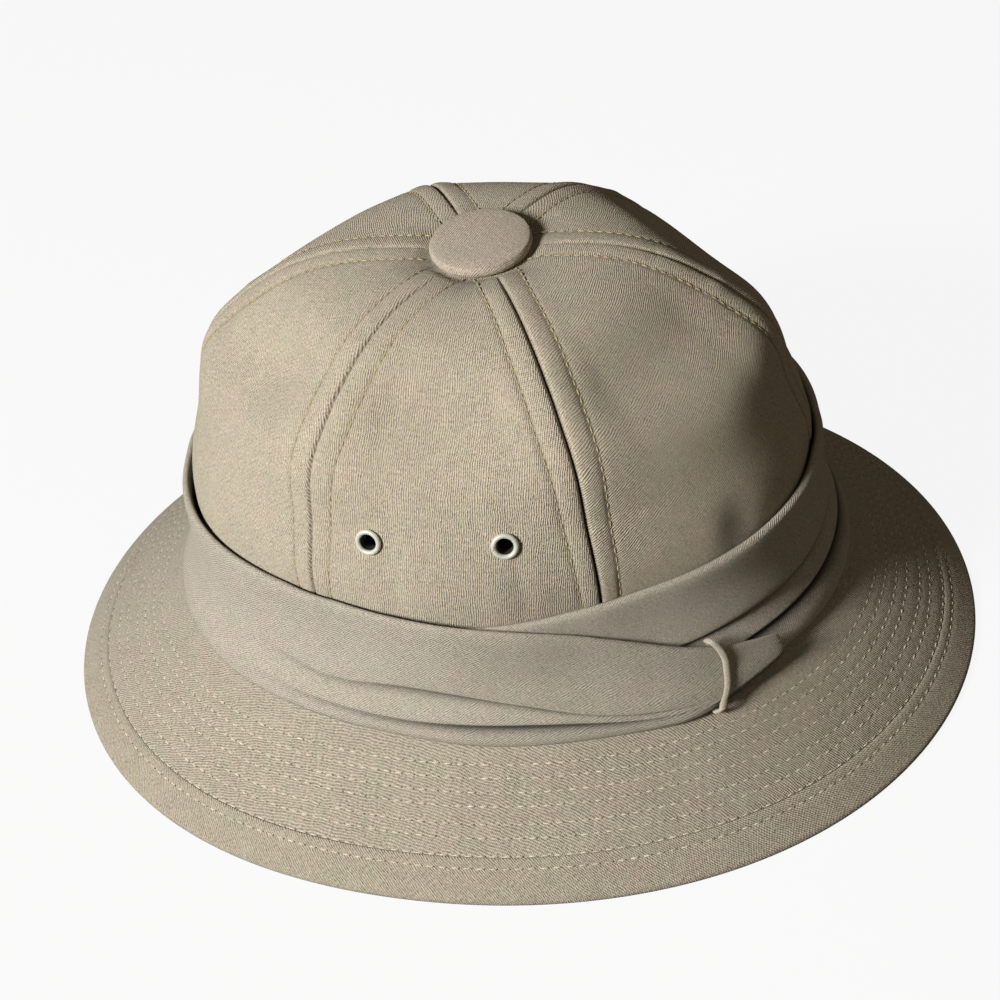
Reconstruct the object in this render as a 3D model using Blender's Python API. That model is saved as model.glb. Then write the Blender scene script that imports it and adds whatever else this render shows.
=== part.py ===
"""Cloth-covered pith helmet, resting on its rim. Metres, +Z up, front at -Y, wearer's left at +X.

Six sewn crown panels stand in the hole of a sloping brim with a bound edge. A folded cloth band
is wound once around the foot of the crown, over its own start and out through a narrow keeper
loop on the left rear. Each side panel has two metal eyelets, and a covered button holds the apex.
"""
import math

import bmesh
import bpy
import numpy as np
from mathutils import Matrix, Vector

# Crown
CROWN_HALF_LENGTH = 0.1045
CROWN_HALF_WIDTH = 0.0889
CROWN_HEIGHT = 0.1181
CROWN_WALL = 0.0025
RIDGE_HEIGHT = 0.0042
RIB_HEIGHT = 0.0006
SEAM_GAP = 0.0003
APEX_HOLE_RADIUS = 0.0035
APEX_SET_BACK = 0.0045

# Brim and its binding
BRIM_ROOT_SPREAD = 0.0036
BRIM_DROP = 0.0345
BRIM_SLANT_FRONT = 0.0609
BRIM_SLANT_BACK = 0.0568
BRIM_SLANT_SIDE = 0.0491
BRIM_THICKNESS = 0.0030
BINDING_WIDTH = 0.0139
BINDING_WALL = 0.0009
BINDING_PROUD = 0.0004
TONGUE_END_GAP = 0.0006
FOLD_CORNER = 0.0005
RIM_FLAT_DEPTH = 0.0006

# Band, keeper loop, eyelets and button
BAND_HEIGHT = 0.0445
BAND_THICKNESS = 0.0030
BAND_FOLD_DEPTH = 0.0022
BAND_EASE = 0.0005
BAND_FLARE = 0.0120
KEEPER_WIDTH = 0.0042
KEEPER_THICKNESS = 0.0013
KEEPER_CORNER_STAND = 0.0012
EYELET_HEIGHT = 0.0665
EYELET_ANGLE = 14.4
EYELET_BORE_RADIUS = 0.0026
EYELET_TUBE_WALL = 0.0005
EYELET_FLANGE_RADIUS = 0.00425
EYELET_FLANGE_THICKNESS = 0.0008
BUTTON_RADIUS = 0.0158
BUTTON_HEIGHT = 0.0056
BUTTON_POST_RADIUS = 0.0022
BUTTON_POST_LENGTH = 0.0050

# Clearance between pieces that touch
GAP = 0.0003

# Polar angles of the six crown seams, degrees from +X, in order around the head
SEAM_ANGLES = (-89.0, -28.0, 31.0, 93.5, 151.0, 207.0)
PANEL_NAMES = ("crown_panel_left_front", "crown_panel_left", "crown_panel_left_back",
               "crown_panel_right_back", "crown_panel_right", "crown_panel_right_front")
EYELET_SIDES = {"left": 0.0, "right": 180.0}

# Half profile of the crown: height as a share of CROWN_HEIGHT, radius as a share of the half axes
#          height radius
PROFILE = ((0.00, 1.089),
           (0.10, 1.041),
           (0.25, 1.002),
           (0.42, 0.995),
           (0.58, 0.934),
           (0.72, 0.870),
           (0.84, 0.710),
           (0.93, 0.594),
           (1.00, 0.000))

# How far the seams stand out and the panel middles sink, as a share of RIDGE_HEIGHT
#        height ridge
RIDGES = ((0.00, 0.00),
          (0.30, -0.28),
          (0.58, 0.06),
          (0.84, 1.00),
          (0.96, 0.09),
          (1.00, 0.00))

# Cross-section of one panel edge: share of the panel's width, lift as a share of RIB_HEIGHT
#      across  lift
RIBS = ((0.00, -1.0),
        (0.04, 0.9),
        (0.10, 0.5),
        (0.20, 0.0),
        (0.35, 0.0),
        (0.50, 0.0),
        (0.65, 0.0),
        (0.80, 0.0),
        (0.90, 0.5),
        (0.96, 0.9),
        (1.00, -1.0))

# Height shares over which the ribs rise out of the smooth foot and sink again under the button
RIB_RANGE = (0.30, 0.42, 0.93, 0.99)

# The band along its turn, from its hidden start to its tip. Heights are shares of BAND_HEIGHT,
# rise is the lower edge's height above the brim, lifts and body are shares of BAND_THICKNESS,
# line_1 and line_2 are the fold lines, fold is the share of BAND_FOLD_DEPTH
#        turn    top   rise  lift_top lift_low body  line_1 line_2 fold
BAND = ((-6.0,  0.88,  0.09,  0.00,   0.00,   0.35,  0.46,  0.26,  0.0),
        (8.0,   0.91,  0.09,  0.00,   0.00,   0.80,  0.45,  0.26,  0.1),
        (20.0,  0.94,  0.08,  0.00,   0.00,   1.00,  0.44,  0.25,  0.4),
        (32.0,  0.98,  0.06,  0.00,   0.00,   1.00,  0.44,  0.25,  0.8),
        (44.0,  1.00,  0.03,  0.05,   0.00,   1.05,  0.43,  0.24,  1.0),
        (56.0,  1.00,  0.00,  0.10,   0.00,   1.10,  0.44,  0.24,  1.0),
        (90.0,  1.00,  0.00,  0.15,   0.00,   1.10,  0.43,  0.23,  1.0),
        (180.0, 1.00,  0.00,  0.10,   0.00,   1.05,  0.42,  0.22,  0.8),
        (240.0, 1.00,  0.00,  0.25,   0.10,   1.00,  0.42,  0.20,  0.5),
        (285.0, 1.00,  0.00,  0.45,   0.30,   1.00,  0.42,  0.18,  0.1),
        (315.0, 1.02,  0.00,  0.10,   0.45,   1.00,  0.40,  0.16,  0.0),
        (335.0, 1.01,  0.00,  0.10,   0.25,   1.00,  0.30,  0.15,  0.2),
        (350.0, 1.00,  0.00,  0.45,   0.45,   0.95,  0.39,  0.15,  0.5),
        (362.0, 0.98,  0.00,  1.05,   0.82,   0.95,  0.37,  0.16,  0.6),
        (374.0, 0.93,  0.00,  1.25,   0.97,   0.95,  0.27,  0.15,  0.6),
        (383.0, 0.84,  0.00,  1.35,   1.05,   0.95,  0.18,  0.12,  0.5),
        (392.0, 0.70,  0.00,  1.50,   1.15,   1.00,  0.10,  0.06,  0.3),
        (400.0, 0.52,  0.02,  1.75,   1.55,   1.10,  0.05,  0.02,  0.0),
        (404.0, 0.43,  0.06,  1.85,   1.80,   1.10,  0.04,  0.01,  0.0),
        (408.0, 0.36,  0.10,  1.85,   1.85,   0.85,  0.06,  0.04,  0.0),
        (412.0, 0.29,  0.11,  1.80,   1.80,   0.75,  0.11,  0.08,  0.0),
        (416.0, 0.22,  0.15,  1.75,   1.75,   0.65,  0.15,  0.12,  0.0),
        (418.0, 0.19,  0.17,  1.75,   1.75,   0.55,  0.15,  0.13,  0.0),
        (420.2, 0.16,  0.19,  1.75,   1.75,   0.40,  0.15,  0.14,  0.0))
BAND_COLUMNS = ("turn", "top", "rise", "lift_top", "lift_low", "body", "line_1", "line_2", "fold")
BAND_STEP = 6.0
TAIL_START = 402.0
TAIL_STEP = 2.2
KEEPER_TURN = 407.4
KEEPER_BOW = 1.6

# Outer side of the band from its top edge down: layer between two fold lines, share of that
# layer's height, relief at full fold, relief of the plain strip (shares of the body)
#           layer share  folded plain
BAND_SIDE = ((0, 0.00,   0.45,  0.45),
             (0, 0.07,   0.86,  0.86),
             (0, 0.45,   1.00,  1.00),
             (0, 0.97,   0.98,  1.00),
             (1, 0.06,   0.30,  1.00),
             (1, 0.50,   0.62,  1.00),
             (1, 0.95,   0.72,  1.00),
             (2, 0.06,   0.15,  1.00),
             (2, 0.45,   0.55,  1.00),
             (2, 0.92,   0.62,  0.92))

# Mesh densities
PANEL_ROWS = 12
RING_STEPS = 60
ROUND_STEPS = 16
KEEPER_STEPS = 20
NOSE_SHARES = (0.0, 0.3, 0.6, 0.8, 1.0)

# Finishes: colour, roughness, metallic
CLOTH = ((0.46, 0.42, 0.32), 0.9, 0.0)
BAND_CLOTH = ((0.43, 0.39, 0.31), 0.9, 0.0)
BRIM_CLOTH = ((0.42, 0.38, 0.29), 0.9, 0.0)
PAINTED_METAL = ((0.62, 0.62, 0.56), 0.45, 0.2)


def spline_through(knots, values, last_slope):
    """Cubic curve through the knots, unbent at the first one and with a given slope at the last."""
    count = len(knots)
    gaps = np.diff(knots)
    rises = np.diff(values) / gaps
    matrix = np.zeros((count, count))
    right = np.zeros(count)
    matrix[0, 0] = 1.0
    for i in range(1, count - 1):
        matrix[i, i - 1:i + 2] = gaps[i - 1], 2 * (gaps[i - 1] + gaps[i]), gaps[i]
        right[i] = 6 * (rises[i] - rises[i - 1])
    matrix[-1, -2:] = gaps[-1], 2 * gaps[-1]
    right[-1] = 6 * (last_slope - rises[-1])
    bends = np.linalg.solve(matrix, right)

    def value(x):
        i = np.clip(np.searchsorted(knots, x) - 1, 0, count - 2)
        gap = gaps[i]
        a = (knots[i + 1] - x) / gap
        b = (x - knots[i]) / gap
        bend = (a ** 3 - a) * bends[i] + (b ** 3 - b) * bends[i + 1]
        return a * values[i] + b * values[i + 1] + bend * gap * gap / 6

    return value


def ellipse_radius(phi, half_width, half_length):
    """Distance from the centre to the ellipse in the direction phi."""
    across = half_length * math.cos(phi)
    along = half_width * math.sin(phi)
    return half_width * half_length / math.hypot(across, along)


# The profile as smooth curves of the distance along it
profile_heights = np.array([row[0] for row in PROFILE]) * CROWN_HEIGHT
profile_radii = np.array([row[1] for row in PROFILE]) * CROWN_HALF_LENGTH
chords = np.hypot(np.diff(profile_heights), np.diff(profile_radii))
distances = np.concatenate([[0.0], np.cumsum(chords)])
PROFILE_LENGTH = distances[-1]
radius_at = spline_through(distances, profile_radii, -1.0)
height_at = spline_through(distances, profile_heights, 0.0)
fine_distances = np.linspace(0.0, PROFILE_LENGTH, 400)
fine_heights = height_at(fine_distances)
fine_radii = radius_at(fine_distances)

FOOT_HALF_LENGTH = PROFILE[0][1] * CROWN_HALF_LENGTH
FOOT_HALF_WIDTH = PROFILE[0][1] * CROWN_HALF_WIDTH
ROOT_HALF_LENGTH = FOOT_HALF_LENGTH
ROOT_HALF_WIDTH = FOOT_HALF_WIDTH + BRIM_ROOT_SPREAD
FRONT_REACH = math.sqrt(BRIM_SLANT_FRONT ** 2 - BRIM_DROP ** 2)
BACK_REACH = math.sqrt(BRIM_SLANT_BACK ** 2 - BRIM_DROP ** 2)
CENTRE_Y = (FRONT_REACH - BACK_REACH) / 2
NOSE_RADIUS = BRIM_THICKNESS / 2 + BINDING_PROUD
NOSE_HEIGHT = NOSE_RADIUS - RIM_FLAT_DEPTH
JOIN_Z = BRIM_DROP + NOSE_HEIGHT
TUCK = BRIM_THICKNESS


def panel_share(phi):
    """How far phi lies across its crown panel, from 0 at one seam to 1 at the next."""
    degrees = (math.degrees(phi) - SEAM_ANGLES[0]) % 360.0 + SEAM_ANGLES[0]
    edges = SEAM_ANGLES + (SEAM_ANGLES[0] + 360.0,)
    for first, last in zip(edges, edges[1:]):
        if degrees <= last:
            return (degrees - first) / (last - first)
    return 0.0


def crown_point(phi, distance, lift, share=None):
    """Point on the crown, a distance up its profile and lifted off along the wall's normal."""
    if distance < 0:
        radius = FOOT_HALF_LENGTH
        height = distance
        out, up = 1.0, 0.0
    else:
        step = PROFILE_LENGTH / 1000
        radius = float(radius_at(distance))
        height = float(height_at(distance))
        d_radius = float(radius_at(distance + step) - radius_at(distance - step))
        d_height = float(height_at(distance + step) - height_at(distance - step))
        length = math.hypot(d_radius, d_height)
        out, up = d_height / length, -d_radius / length
    if share is None:
        share = panel_share(phi)
    ridge = RIDGE_HEIGHT * np.interp(height / CROWN_HEIGHT, *zip(*RIDGES))
    rib = RIB_HEIGHT * np.interp(share, *zip(*RIBS))
    rib *= np.interp(height / CROWN_HEIGHT, RIB_RANGE, (0.0, 1.0, 1.0, 0.0))
    offset = ridge * math.cos(2 * math.pi * share) + rib + lift
    stretch = ellipse_radius(phi, CROWN_HALF_WIDTH, CROWN_HALF_LENGTH) / CROWN_HALF_LENGTH
    reach = stretch * radius + out * offset
    set_back = APEX_SET_BACK * (1 - radius / FOOT_HALF_LENGTH) ** 2
    return Vector((reach * math.cos(phi),
                   reach * math.sin(phi) + CENTRE_Y + set_back,
                   JOIN_Z + height + up * offset))


def wall_point(phi, height, lift):
    """Point beside the crown wall at a height above the join."""
    distance = height
    if height > 0:
        distance = np.interp(height, fine_heights, fine_distances)
    return crown_point(phi, distance, lift)


def band_point(phi, height, lift):
    """Point of the band: beside the crown wall above, and out on the brim around its lower edge."""
    beside = wall_point(phi, height, lift)
    reach = ellipse_radius(phi, FOOT_HALF_WIDTH, FOOT_HALF_LENGTH) + lift
    below = Vector((reach * math.cos(phi), reach * math.sin(phi) + CENTRE_Y, JOIN_Z + height))
    edge = brim_top_height(phi, lift)
    return below.lerp(beside, float(np.clip((height - edge) / BAND_FLARE - 0.1, 0.0, 1.0)))


def brim_slant(phi):
    """Width of the brim along its slope at phi, and its horizontal reach."""
    end = BRIM_SLANT_FRONT if math.sin(phi) < 0 else BRIM_SLANT_BACK
    slant = BRIM_SLANT_SIDE + (end - BRIM_SLANT_SIDE) * math.sin(phi) ** 2
    return slant, math.sqrt(slant ** 2 - BRIM_DROP ** 2)


def brim_point(phi, down, above):
    """Point at a distance down the brim's slope from its root line, above its top face."""
    slant, reach = brim_slant(phi)
    radius = ellipse_radius(phi, ROOT_HALF_WIDTH, ROOT_HALF_LENGTH)
    root = Vector((radius * math.cos(phi), radius * math.sin(phi), 0.0))
    normal = Vector((root.x / ROOT_HALF_WIDTH ** 2, root.y / ROOT_HALF_LENGTH ** 2, 0.0)).normalized()
    out = (reach * down + BRIM_DROP * above) / slant
    up = (reach * above - BRIM_DROP * down) / slant
    return root + normal * out + Vector((0.0, CENTRE_Y, JOIN_Z + up))


def root_inset(phi):
    """Distance down the slope, below zero, where the brim's hole clears the crown's foot."""
    slant, reach = brim_slant(phi)
    root = ellipse_radius(phi, ROOT_HALF_WIDTH, ROOT_HALF_LENGTH)
    foot = ellipse_radius(phi, FOOT_HALF_WIDTH, FOOT_HALF_LENGTH)
    return (foot + GAP - root) * slant / reach


def brim_top_height(phi, lift):
    """Height above the join of the brim's top face, a lift away from the crown's foot."""
    slant, reach = brim_slant(phi)
    root = ellipse_radius(phi, ROOT_HALF_WIDTH, ROOT_HALF_LENGTH)
    foot = ellipse_radius(phi, FOOT_HALF_WIDTH, FOOT_HALF_LENGTH)
    return -(foot + lift - root) * BRIM_DROP / reach


def make_material(name, finish):
    """One Principled material from a colour, roughness and metallic value."""
    colour, roughness, metallic = finish
    material = bpy.data.materials.new(name)
    material.use_nodes = True
    shader = material.node_tree.nodes["Principled BSDF"]
    shader.inputs["Base Color"].default_value = (*colour, 1.0)
    shader.inputs["Roughness"].default_value = roughness
    shader.inputs["Metallic"].default_value = metallic
    return material


def make_object(name, bm, finish, smooth_angle=40.0):
    """Named object from a bmesh, shaded smooth across gentle edges."""
    bmesh.ops.recalc_face_normals(bm, faces=bm.faces)
    mesh = bpy.data.meshes.new(name)
    bm.to_mesh(mesh)
    bm.free()
    mesh.shade_smooth()
    mesh.set_sharp_from_angle(angle=math.radians(smooth_angle))
    mesh.materials.append(make_material(name, finish))
    piece = bpy.data.objects.new(name, mesh)
    bpy.context.collection.objects.link(piece)
    return piece


def loft(rings, closed):
    """Skin through rings of points: closed on itself, or capped at both ends."""
    bm = bmesh.new()
    loops = [[bm.verts.new(point) for point in ring] for ring in rings]
    pairs = list(zip(loops, loops[1:]))
    if closed:
        pairs.append((loops[-1], loops[0]))
    for near, far in pairs:
        for i in range(len(near)):
            j = (i + 1) % len(near)
            bm.faces.new((near[i], near[j], far[j], far[i]))
    if not closed:
        bm.faces.new(loops[0])
        bm.faces.new(loops[-1])
    return bm


def turned(profile, steps):
    """Solid turned around Z from a closed profile of radius and height pairs."""
    bm = bmesh.new()
    verts = [bm.verts.new((radius, 0.0, height)) for radius, height in profile]
    edges = [bm.edges.new(pair) for pair in zip(verts, verts[1:])]
    if profile[0][0] > 0:
        edges.append(bm.edges.new((verts[-1], verts[0])))
    bmesh.ops.spin(bm, geom=verts + edges, axis=(0, 0, 1), cent=(0, 0, 0),
                   angle=2 * math.pi, steps=steps, use_merge=True)
    bmesh.ops.remove_doubles(bm, verts=bm.verts, dist=1e-6)
    return bm


def eyelet_frame(angle):
    """Matrix whose origin lies on the crown at an eyelet and whose Z points out of the wall."""
    phi = math.radians(angle)
    height = EYELET_HEIGHT
    small = 0.004
    centre = wall_point(phi, height, 0.0)
    swing = small / CROWN_HALF_WIDTH
    across = wall_point(phi + swing, height, 0.0) - wall_point(phi - swing, height, 0.0)
    upward = wall_point(phi, height + small, 0.0) - wall_point(phi, height - small, 0.0)
    out = across.cross(upward).normalized()
    side = across.normalized()
    return Matrix.Translation(centre) @ Matrix((side, out.cross(side), out)).transposed().to_4x4()


def crown_panel(name, first, last, eyelet_angles):
    """One sewn panel: a grid on the crown's surface, thickened inwards, with its eyelet holes."""
    apex_distance = np.interp(-APEX_HOLE_RADIUS, -fine_radii, fine_distances)
    rows = [-TUCK] + list(np.linspace(0.0, apex_distance, PANEL_ROWS + 1))
    columns = [row[0] for row in RIBS]
    bm = bmesh.new()
    bmesh.ops.create_grid(bm, x_segments=len(columns) - 1, y_segments=len(rows) - 1, size=0.5)
    for vert in bm.verts:
        share = columns[round((vert.co.x + 0.5) * (len(columns) - 1))]
        distance = rows[round((vert.co.y + 0.5) * (len(rows) - 1))]
        radius = float(radius_at(max(distance, 0.0)))
        trim = SEAM_GAP / 2 / radius
        start = math.radians(first) + trim
        end = math.radians(last) - trim
        vert.co = crown_point(start + (end - start) * share, distance, 0.0, share)
    piece = make_object(name, bm, CLOTH)
    wall = piece.modifiers.new("wall", "SOLIDIFY")
    wall.thickness = CROWN_WALL
    wall.offset = -1.0
    wall.use_even_offset = True
    for index, angle in enumerate(eyelet_angles):
        cutter = eyelet_cutter(f"{name}_eyelet_cutter_{index + 1}", angle)
        hole = piece.modifiers.new(f"eyelet_hole_{index + 1}", "BOOLEAN")
        hole.operation = "DIFFERENCE"
        hole.object = cutter
    return piece


def eyelet_cutter(name, angle):
    """Round cutter through the wall, wider than the eyelet's tube by the gap."""
    bm = bmesh.new()
    radius = EYELET_BORE_RADIUS + EYELET_TUBE_WALL + GAP
    bmesh.ops.create_cone(bm, cap_ends=True, segments=ROUND_STEPS, radius1=radius, radius2=radius,
                          depth=6 * CROWN_WALL)
    cutter = make_object(name, bm, PAINTED_METAL)
    cutter.matrix_world = eyelet_frame(angle)
    cutter.hide_render = True
    cutter.display_type = "WIRE"
    return cutter


def eyelet(name, angle):
    """Painted metal eyelet: a tube through the wall with a flange on each side of it."""
    bore = EYELET_BORE_RADIUS
    tube = bore + EYELET_TUBE_WALL
    flange = EYELET_FLANGE_RADIUS
    thick = EYELET_FLANGE_THICKNESS
    outer = 1.3 * GAP
    inner = -CROWN_WALL - 2 * GAP
    profile = ((tube, outer), (flange, outer), (flange, outer + thick / 2), (bore + thick, outer + thick),
               (bore, outer + thick / 2), (bore, inner - thick / 2), (bore + thick, inner - thick),
               (flange, inner - thick / 2), (flange, inner), (tube, inner))
    piece = make_object(name, turned(profile, ROUND_STEPS), PAINTED_METAL)
    piece.matrix_world = eyelet_frame(angle)
    return piece


def top_button():
    """Covered button over the apex, with the plain post that holds it through the panel tips."""
    apex = JOIN_Z + CROWN_HEIGHT
    reaches = np.linspace(APEX_HOLE_RADIUS, BUTTON_RADIUS - 0.0008, 3)
    # The underside follows the crown along its long axis, where it lies highest
    seat = [(reach, float(np.interp(-reach, -fine_radii, fine_heights)) - CROWN_HEIGHT + 1.5 * GAP)
            for reach in reaches]
    edge = seat[-1][1]
    dome = [(BUTTON_RADIUS * math.cos(turn), edge + 0.0012 + (BUTTON_HEIGHT - 0.0012) * math.sin(turn))
            for turn in np.radians((0.0, 25.0, 50.0, 72.0))]
    profile = [(0.0, -BUTTON_POST_LENGTH), (BUTTON_POST_RADIUS, -BUTTON_POST_LENGTH),
               (BUTTON_POST_RADIUS, seat[0][1])] + seat + dome + [(0.0, edge + BUTTON_HEIGHT)]
    piece = make_object("top_button", turned(profile, 2 * ROUND_STEPS), CLOTH)
    piece.location = (0.0, CENTRE_Y + APEX_SET_BACK, apex)
    return piece


def ring_angles():
    """Even steps around the hat."""
    return [2 * math.pi * i / RING_STEPS for i in range(RING_STEPS)]


def brim():
    """Stiffened brim: a sloping ring with a thinner tongue at its edge inside the binding."""
    rings = []
    rebate = BINDING_WALL + GAP - BINDING_PROUD
    for phi in ring_angles():
        slant, reach = brim_slant(phi)
        inset = root_inset(phi)
        lean = BRIM_THICKNESS * BRIM_DROP / reach
        shoulder = slant - BINDING_WIDTH - GAP
        tip = slant - NOSE_RADIUS
        bottom = -BRIM_THICKNESS
        section = ((inset, 0.0), ((inset + shoulder) / 2, 0.0), (shoulder, 0.0), (shoulder, -rebate),
                   (tip, -rebate), (tip, bottom + rebate), (shoulder, bottom + rebate),
                   (shoulder, bottom), ((inset + shoulder) / 2, bottom), (inset + lean, bottom))
        rings.append([brim_point(phi, down, above) for down, above in section])
    return make_object("brim", loft(rings, True), BRIM_CLOTH)


def brim_binding():
    """Cloth strip folded around the brim's edge, pressed flat where the rim rests."""
    rings = []
    roof = BINDING_PROUD
    floor = -BRIM_THICKNESS - BINDING_PROUD
    middle = -BRIM_THICKNESS / 2
    for phi in ring_angles():
        slant, reach = brim_slant(phi)
        tilt = math.atan2(BRIM_DROP, reach)
        start = slant - BINDING_WIDTH
        # The nose's centre lies where the middle of the brim comes down to NOSE_HEIGHT
        centre = (JOIN_Z + middle * math.cos(tilt) - NOSE_HEIGHT) / math.sin(tilt)
        flat_start = math.acos(NOSE_HEIGHT / NOSE_RADIUS)
        flat_end = (JOIN_Z + floor * math.cos(tilt)) / math.sin(tilt)
        cavity_roof = roof - BINDING_WALL
        cavity_floor = floor + BINDING_WALL
        tongue_end = slant - NOSE_RADIUS + TONGUE_END_GAP
        nose_end = tilt - math.pi / 2 + flat_start
        # From the top of the nose round to where it meets the resting plane
        nose_turns = [math.pi / 2 + share * (nose_end - math.pi / 2) for share in NOSE_SHARES]
        nose = [(centre + NOSE_RADIUS * math.cos(turn), middle + NOSE_RADIUS * math.sin(turn))
                for turn in nose_turns]
        section = [(start, cavity_roof), (start, roof - BINDING_WALL / 3),
                   (start + BINDING_WALL, roof)] + nose
        section += [(flat_end, floor), (start + BINDING_WALL, floor),
                    (start, floor + BINDING_WALL / 3), (start, cavity_floor)]
        # The fold's inside is cut off at its lower corner, so that cloth is left above the rim's flat
        section += [(tongue_end - FOLD_CORNER, cavity_floor), (tongue_end, cavity_floor + FOLD_CORNER),
                    (tongue_end, cavity_roof)]
        rings.append([brim_point(phi, down, above) for down, above in section])
    return make_object("brim_binding", loft(rings, True), BRIM_CLOTH)


def band_row(turn):
    """The band's table read at one turn, slightly smoothed along its length."""
    turns = [row[0] for row in BAND]
    blend = min(4.0, turn - turns[0], turns[-1] - turn)
    values = {}
    for column, name in enumerate(BAND_COLUMNS):
        track = [row[column] for row in BAND]
        reads = [np.interp(turn + shift, turns, track) for shift in (-blend, 0.0, blend)]
        values[name] = float(reads[0] + 2 * reads[1] + reads[2]) / 4
    return values


def band_sides(turn):
    """Outer and inner side of the band at one turn, as heights and lifts from the crown wall."""
    row = band_row(turn)
    phi = math.radians(turn)
    body = row["body"] * BAND_THICKNESS
    lift_top = BAND_EASE + row["lift_top"] * BAND_THICKNESS
    lift_low = BAND_EASE + row["lift_low"] * BAND_THICKNESS
    top = row["top"] * BAND_HEIGHT
    rise = row["rise"] * BAND_HEIGHT + GAP / math.cos(math.atan2(BRIM_DROP, brim_slant(phi)[1]))
    low = brim_top_height(phi, lift_low) + rise
    lines = (top, row["line_1"] * BAND_HEIGHT, row["line_2"] * BAND_HEIGHT, low)
    # Where the strip narrows, the fold lines are squeezed between its two edges
    lines = (top, min(lines[1], top - 0.3 * (top - low)), lines[2], low)
    lines = (top, lines[1], min(lines[2], lines[1] - 0.3 * (lines[1] - low)), low)
    outer = []
    for layer, share, folded, plain in BAND_SIDE:
        height = lines[layer] + share * (lines[layer + 1] - lines[layer])
        base = lift_low + (lift_top - lift_low) * (height - low) / (top - low)
        relief = plain * body - row["fold"] * (plain - folded) * BAND_FOLD_DEPTH
        outer.append((height, base + relief))
    foot_lift = lift_low + 0.75 * body - row["fold"] * 0.3 * BAND_FOLD_DEPTH
    outer.append((brim_top_height(phi, foot_lift) + rise, foot_lift))
    inner = []
    for share in (0.0, 0.12, 0.35, 0.65, 0.96):
        height = low + share * (top - low)
        inner.append((height, lift_low + (lift_top - lift_low) * share))
    return outer, inner


def hat_band():
    """Folded cloth strip wound once around the crown, over its own start and on to its tip."""
    turns = list(np.arange(BAND[0][0], TAIL_START, BAND_STEP))
    turns += list(np.arange(TAIL_START, BAND[-1][0] - TAIL_STEP / 2, TAIL_STEP)) + [BAND[-1][0]]
    rings = []
    for turn in turns:
        outer, inner = band_sides(turn)
        rings.append([band_point(math.radians(turn), height, lift) for height, lift in outer + inner])
    return make_object("hat_band", loft(rings, False), BAND_CLOTH)


def band_keeper():
    """Narrow cloth loop around the band, just before its tail."""
    half_width = math.degrees(KEEPER_WIDTH / 2 / CROWN_HALF_WIDTH)
    turns = (KEEPER_TURN - KEEPER_BOW - half_width, KEEPER_TURN - KEEPER_BOW, KEEPER_TURN,
             KEEPER_TURN + half_width)
    sides = [band_sides(turn) for turn in turns]
    slack = 1.5 * GAP + KEEPER_THICKNESS / 2
    far = max(lift for outer, inner in sides for height, lift in outer) + slack
    near = min(lift for outer, inner in sides for height, lift in inner) - slack
    corner = (far - near) / 2
    centre = (far + near) / 2
    # The rounded ends of the loop stand off the strip's square edges
    high = max(outer[0][0] for outer, inner in sides) + slack + KEEPER_CORNER_STAND
    low = min(inner[0][0] for outer, inner in sides) - slack - KEEPER_CORNER_STAND
    path = []
    half = KEEPER_STEPS // 2
    for i in range(KEEPER_STEPS):
        turn = 2 * math.pi * (i + 0.5) / KEEPER_STEPS
        middle = high - corner if i < half else low + corner
        path.append((middle + corner * math.sin(turn), centre + corner * math.cos(turn)))
    rings = []
    for i, (height, lift) in enumerate(path):
        before, after = path[i - 1], path[(i + 1) % KEEPER_STEPS]
        direction = Vector((after[0] - before[0], after[1] - before[1])).normalized()
        # The loop bows towards the tail in its middle
        bow = KEEPER_BOW * ((height - (high + low) / 2) / ((high - low) / 2)) ** 2
        ring = []
        for j in range(8):
            around = 2 * math.pi * j / 8
            swing = KEEPER_WIDTH / 2 * math.cos(around) / CROWN_HALF_WIDTH
            push = KEEPER_THICKNESS / 2 * math.sin(around)
            phi = math.radians(KEEPER_TURN - bow) + swing
            ring.append(band_point(phi, height + push * direction.y, lift - push * direction.x))
        rings.append(ring)
    return make_object("band_keeper", loft(rings, True), BAND_CLOTH)


for existing in list(bpy.data.objects):
    bpy.data.objects.remove(existing, do_unlink=True)

seam_edges = SEAM_ANGLES + (SEAM_ANGLES[0] + 360.0,)
for panel_name, seam_before, seam_after in zip(PANEL_NAMES, seam_edges, seam_edges[1:]):
    side_name = panel_name.removeprefix("crown_panel_")
    angles = []
    if side_name in EYELET_SIDES:
        side_angle = EYELET_SIDES[side_name]
        angles = [side_angle - EYELET_ANGLE, side_angle + EYELET_ANGLE]
    crown_panel(panel_name, seam_before, seam_after, angles)
    for eyelet_end, eyelet_angle in zip(("1", "2"), angles):
        eyelet(f"eyelet_{side_name}_{eyelet_end}", eyelet_angle)

top_button()
brim()
brim_binding()
hat_band()
band_keeper()
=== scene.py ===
"""Looks of a cloth-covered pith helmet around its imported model. Metres, +Z up, front at -Y.

The pieces follow the same sizes and formulas as the solids that they stand for.
"""

import math
import random

import bmesh
import bpy
import numpy as np
from mathutils import Matrix, Vector


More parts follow.
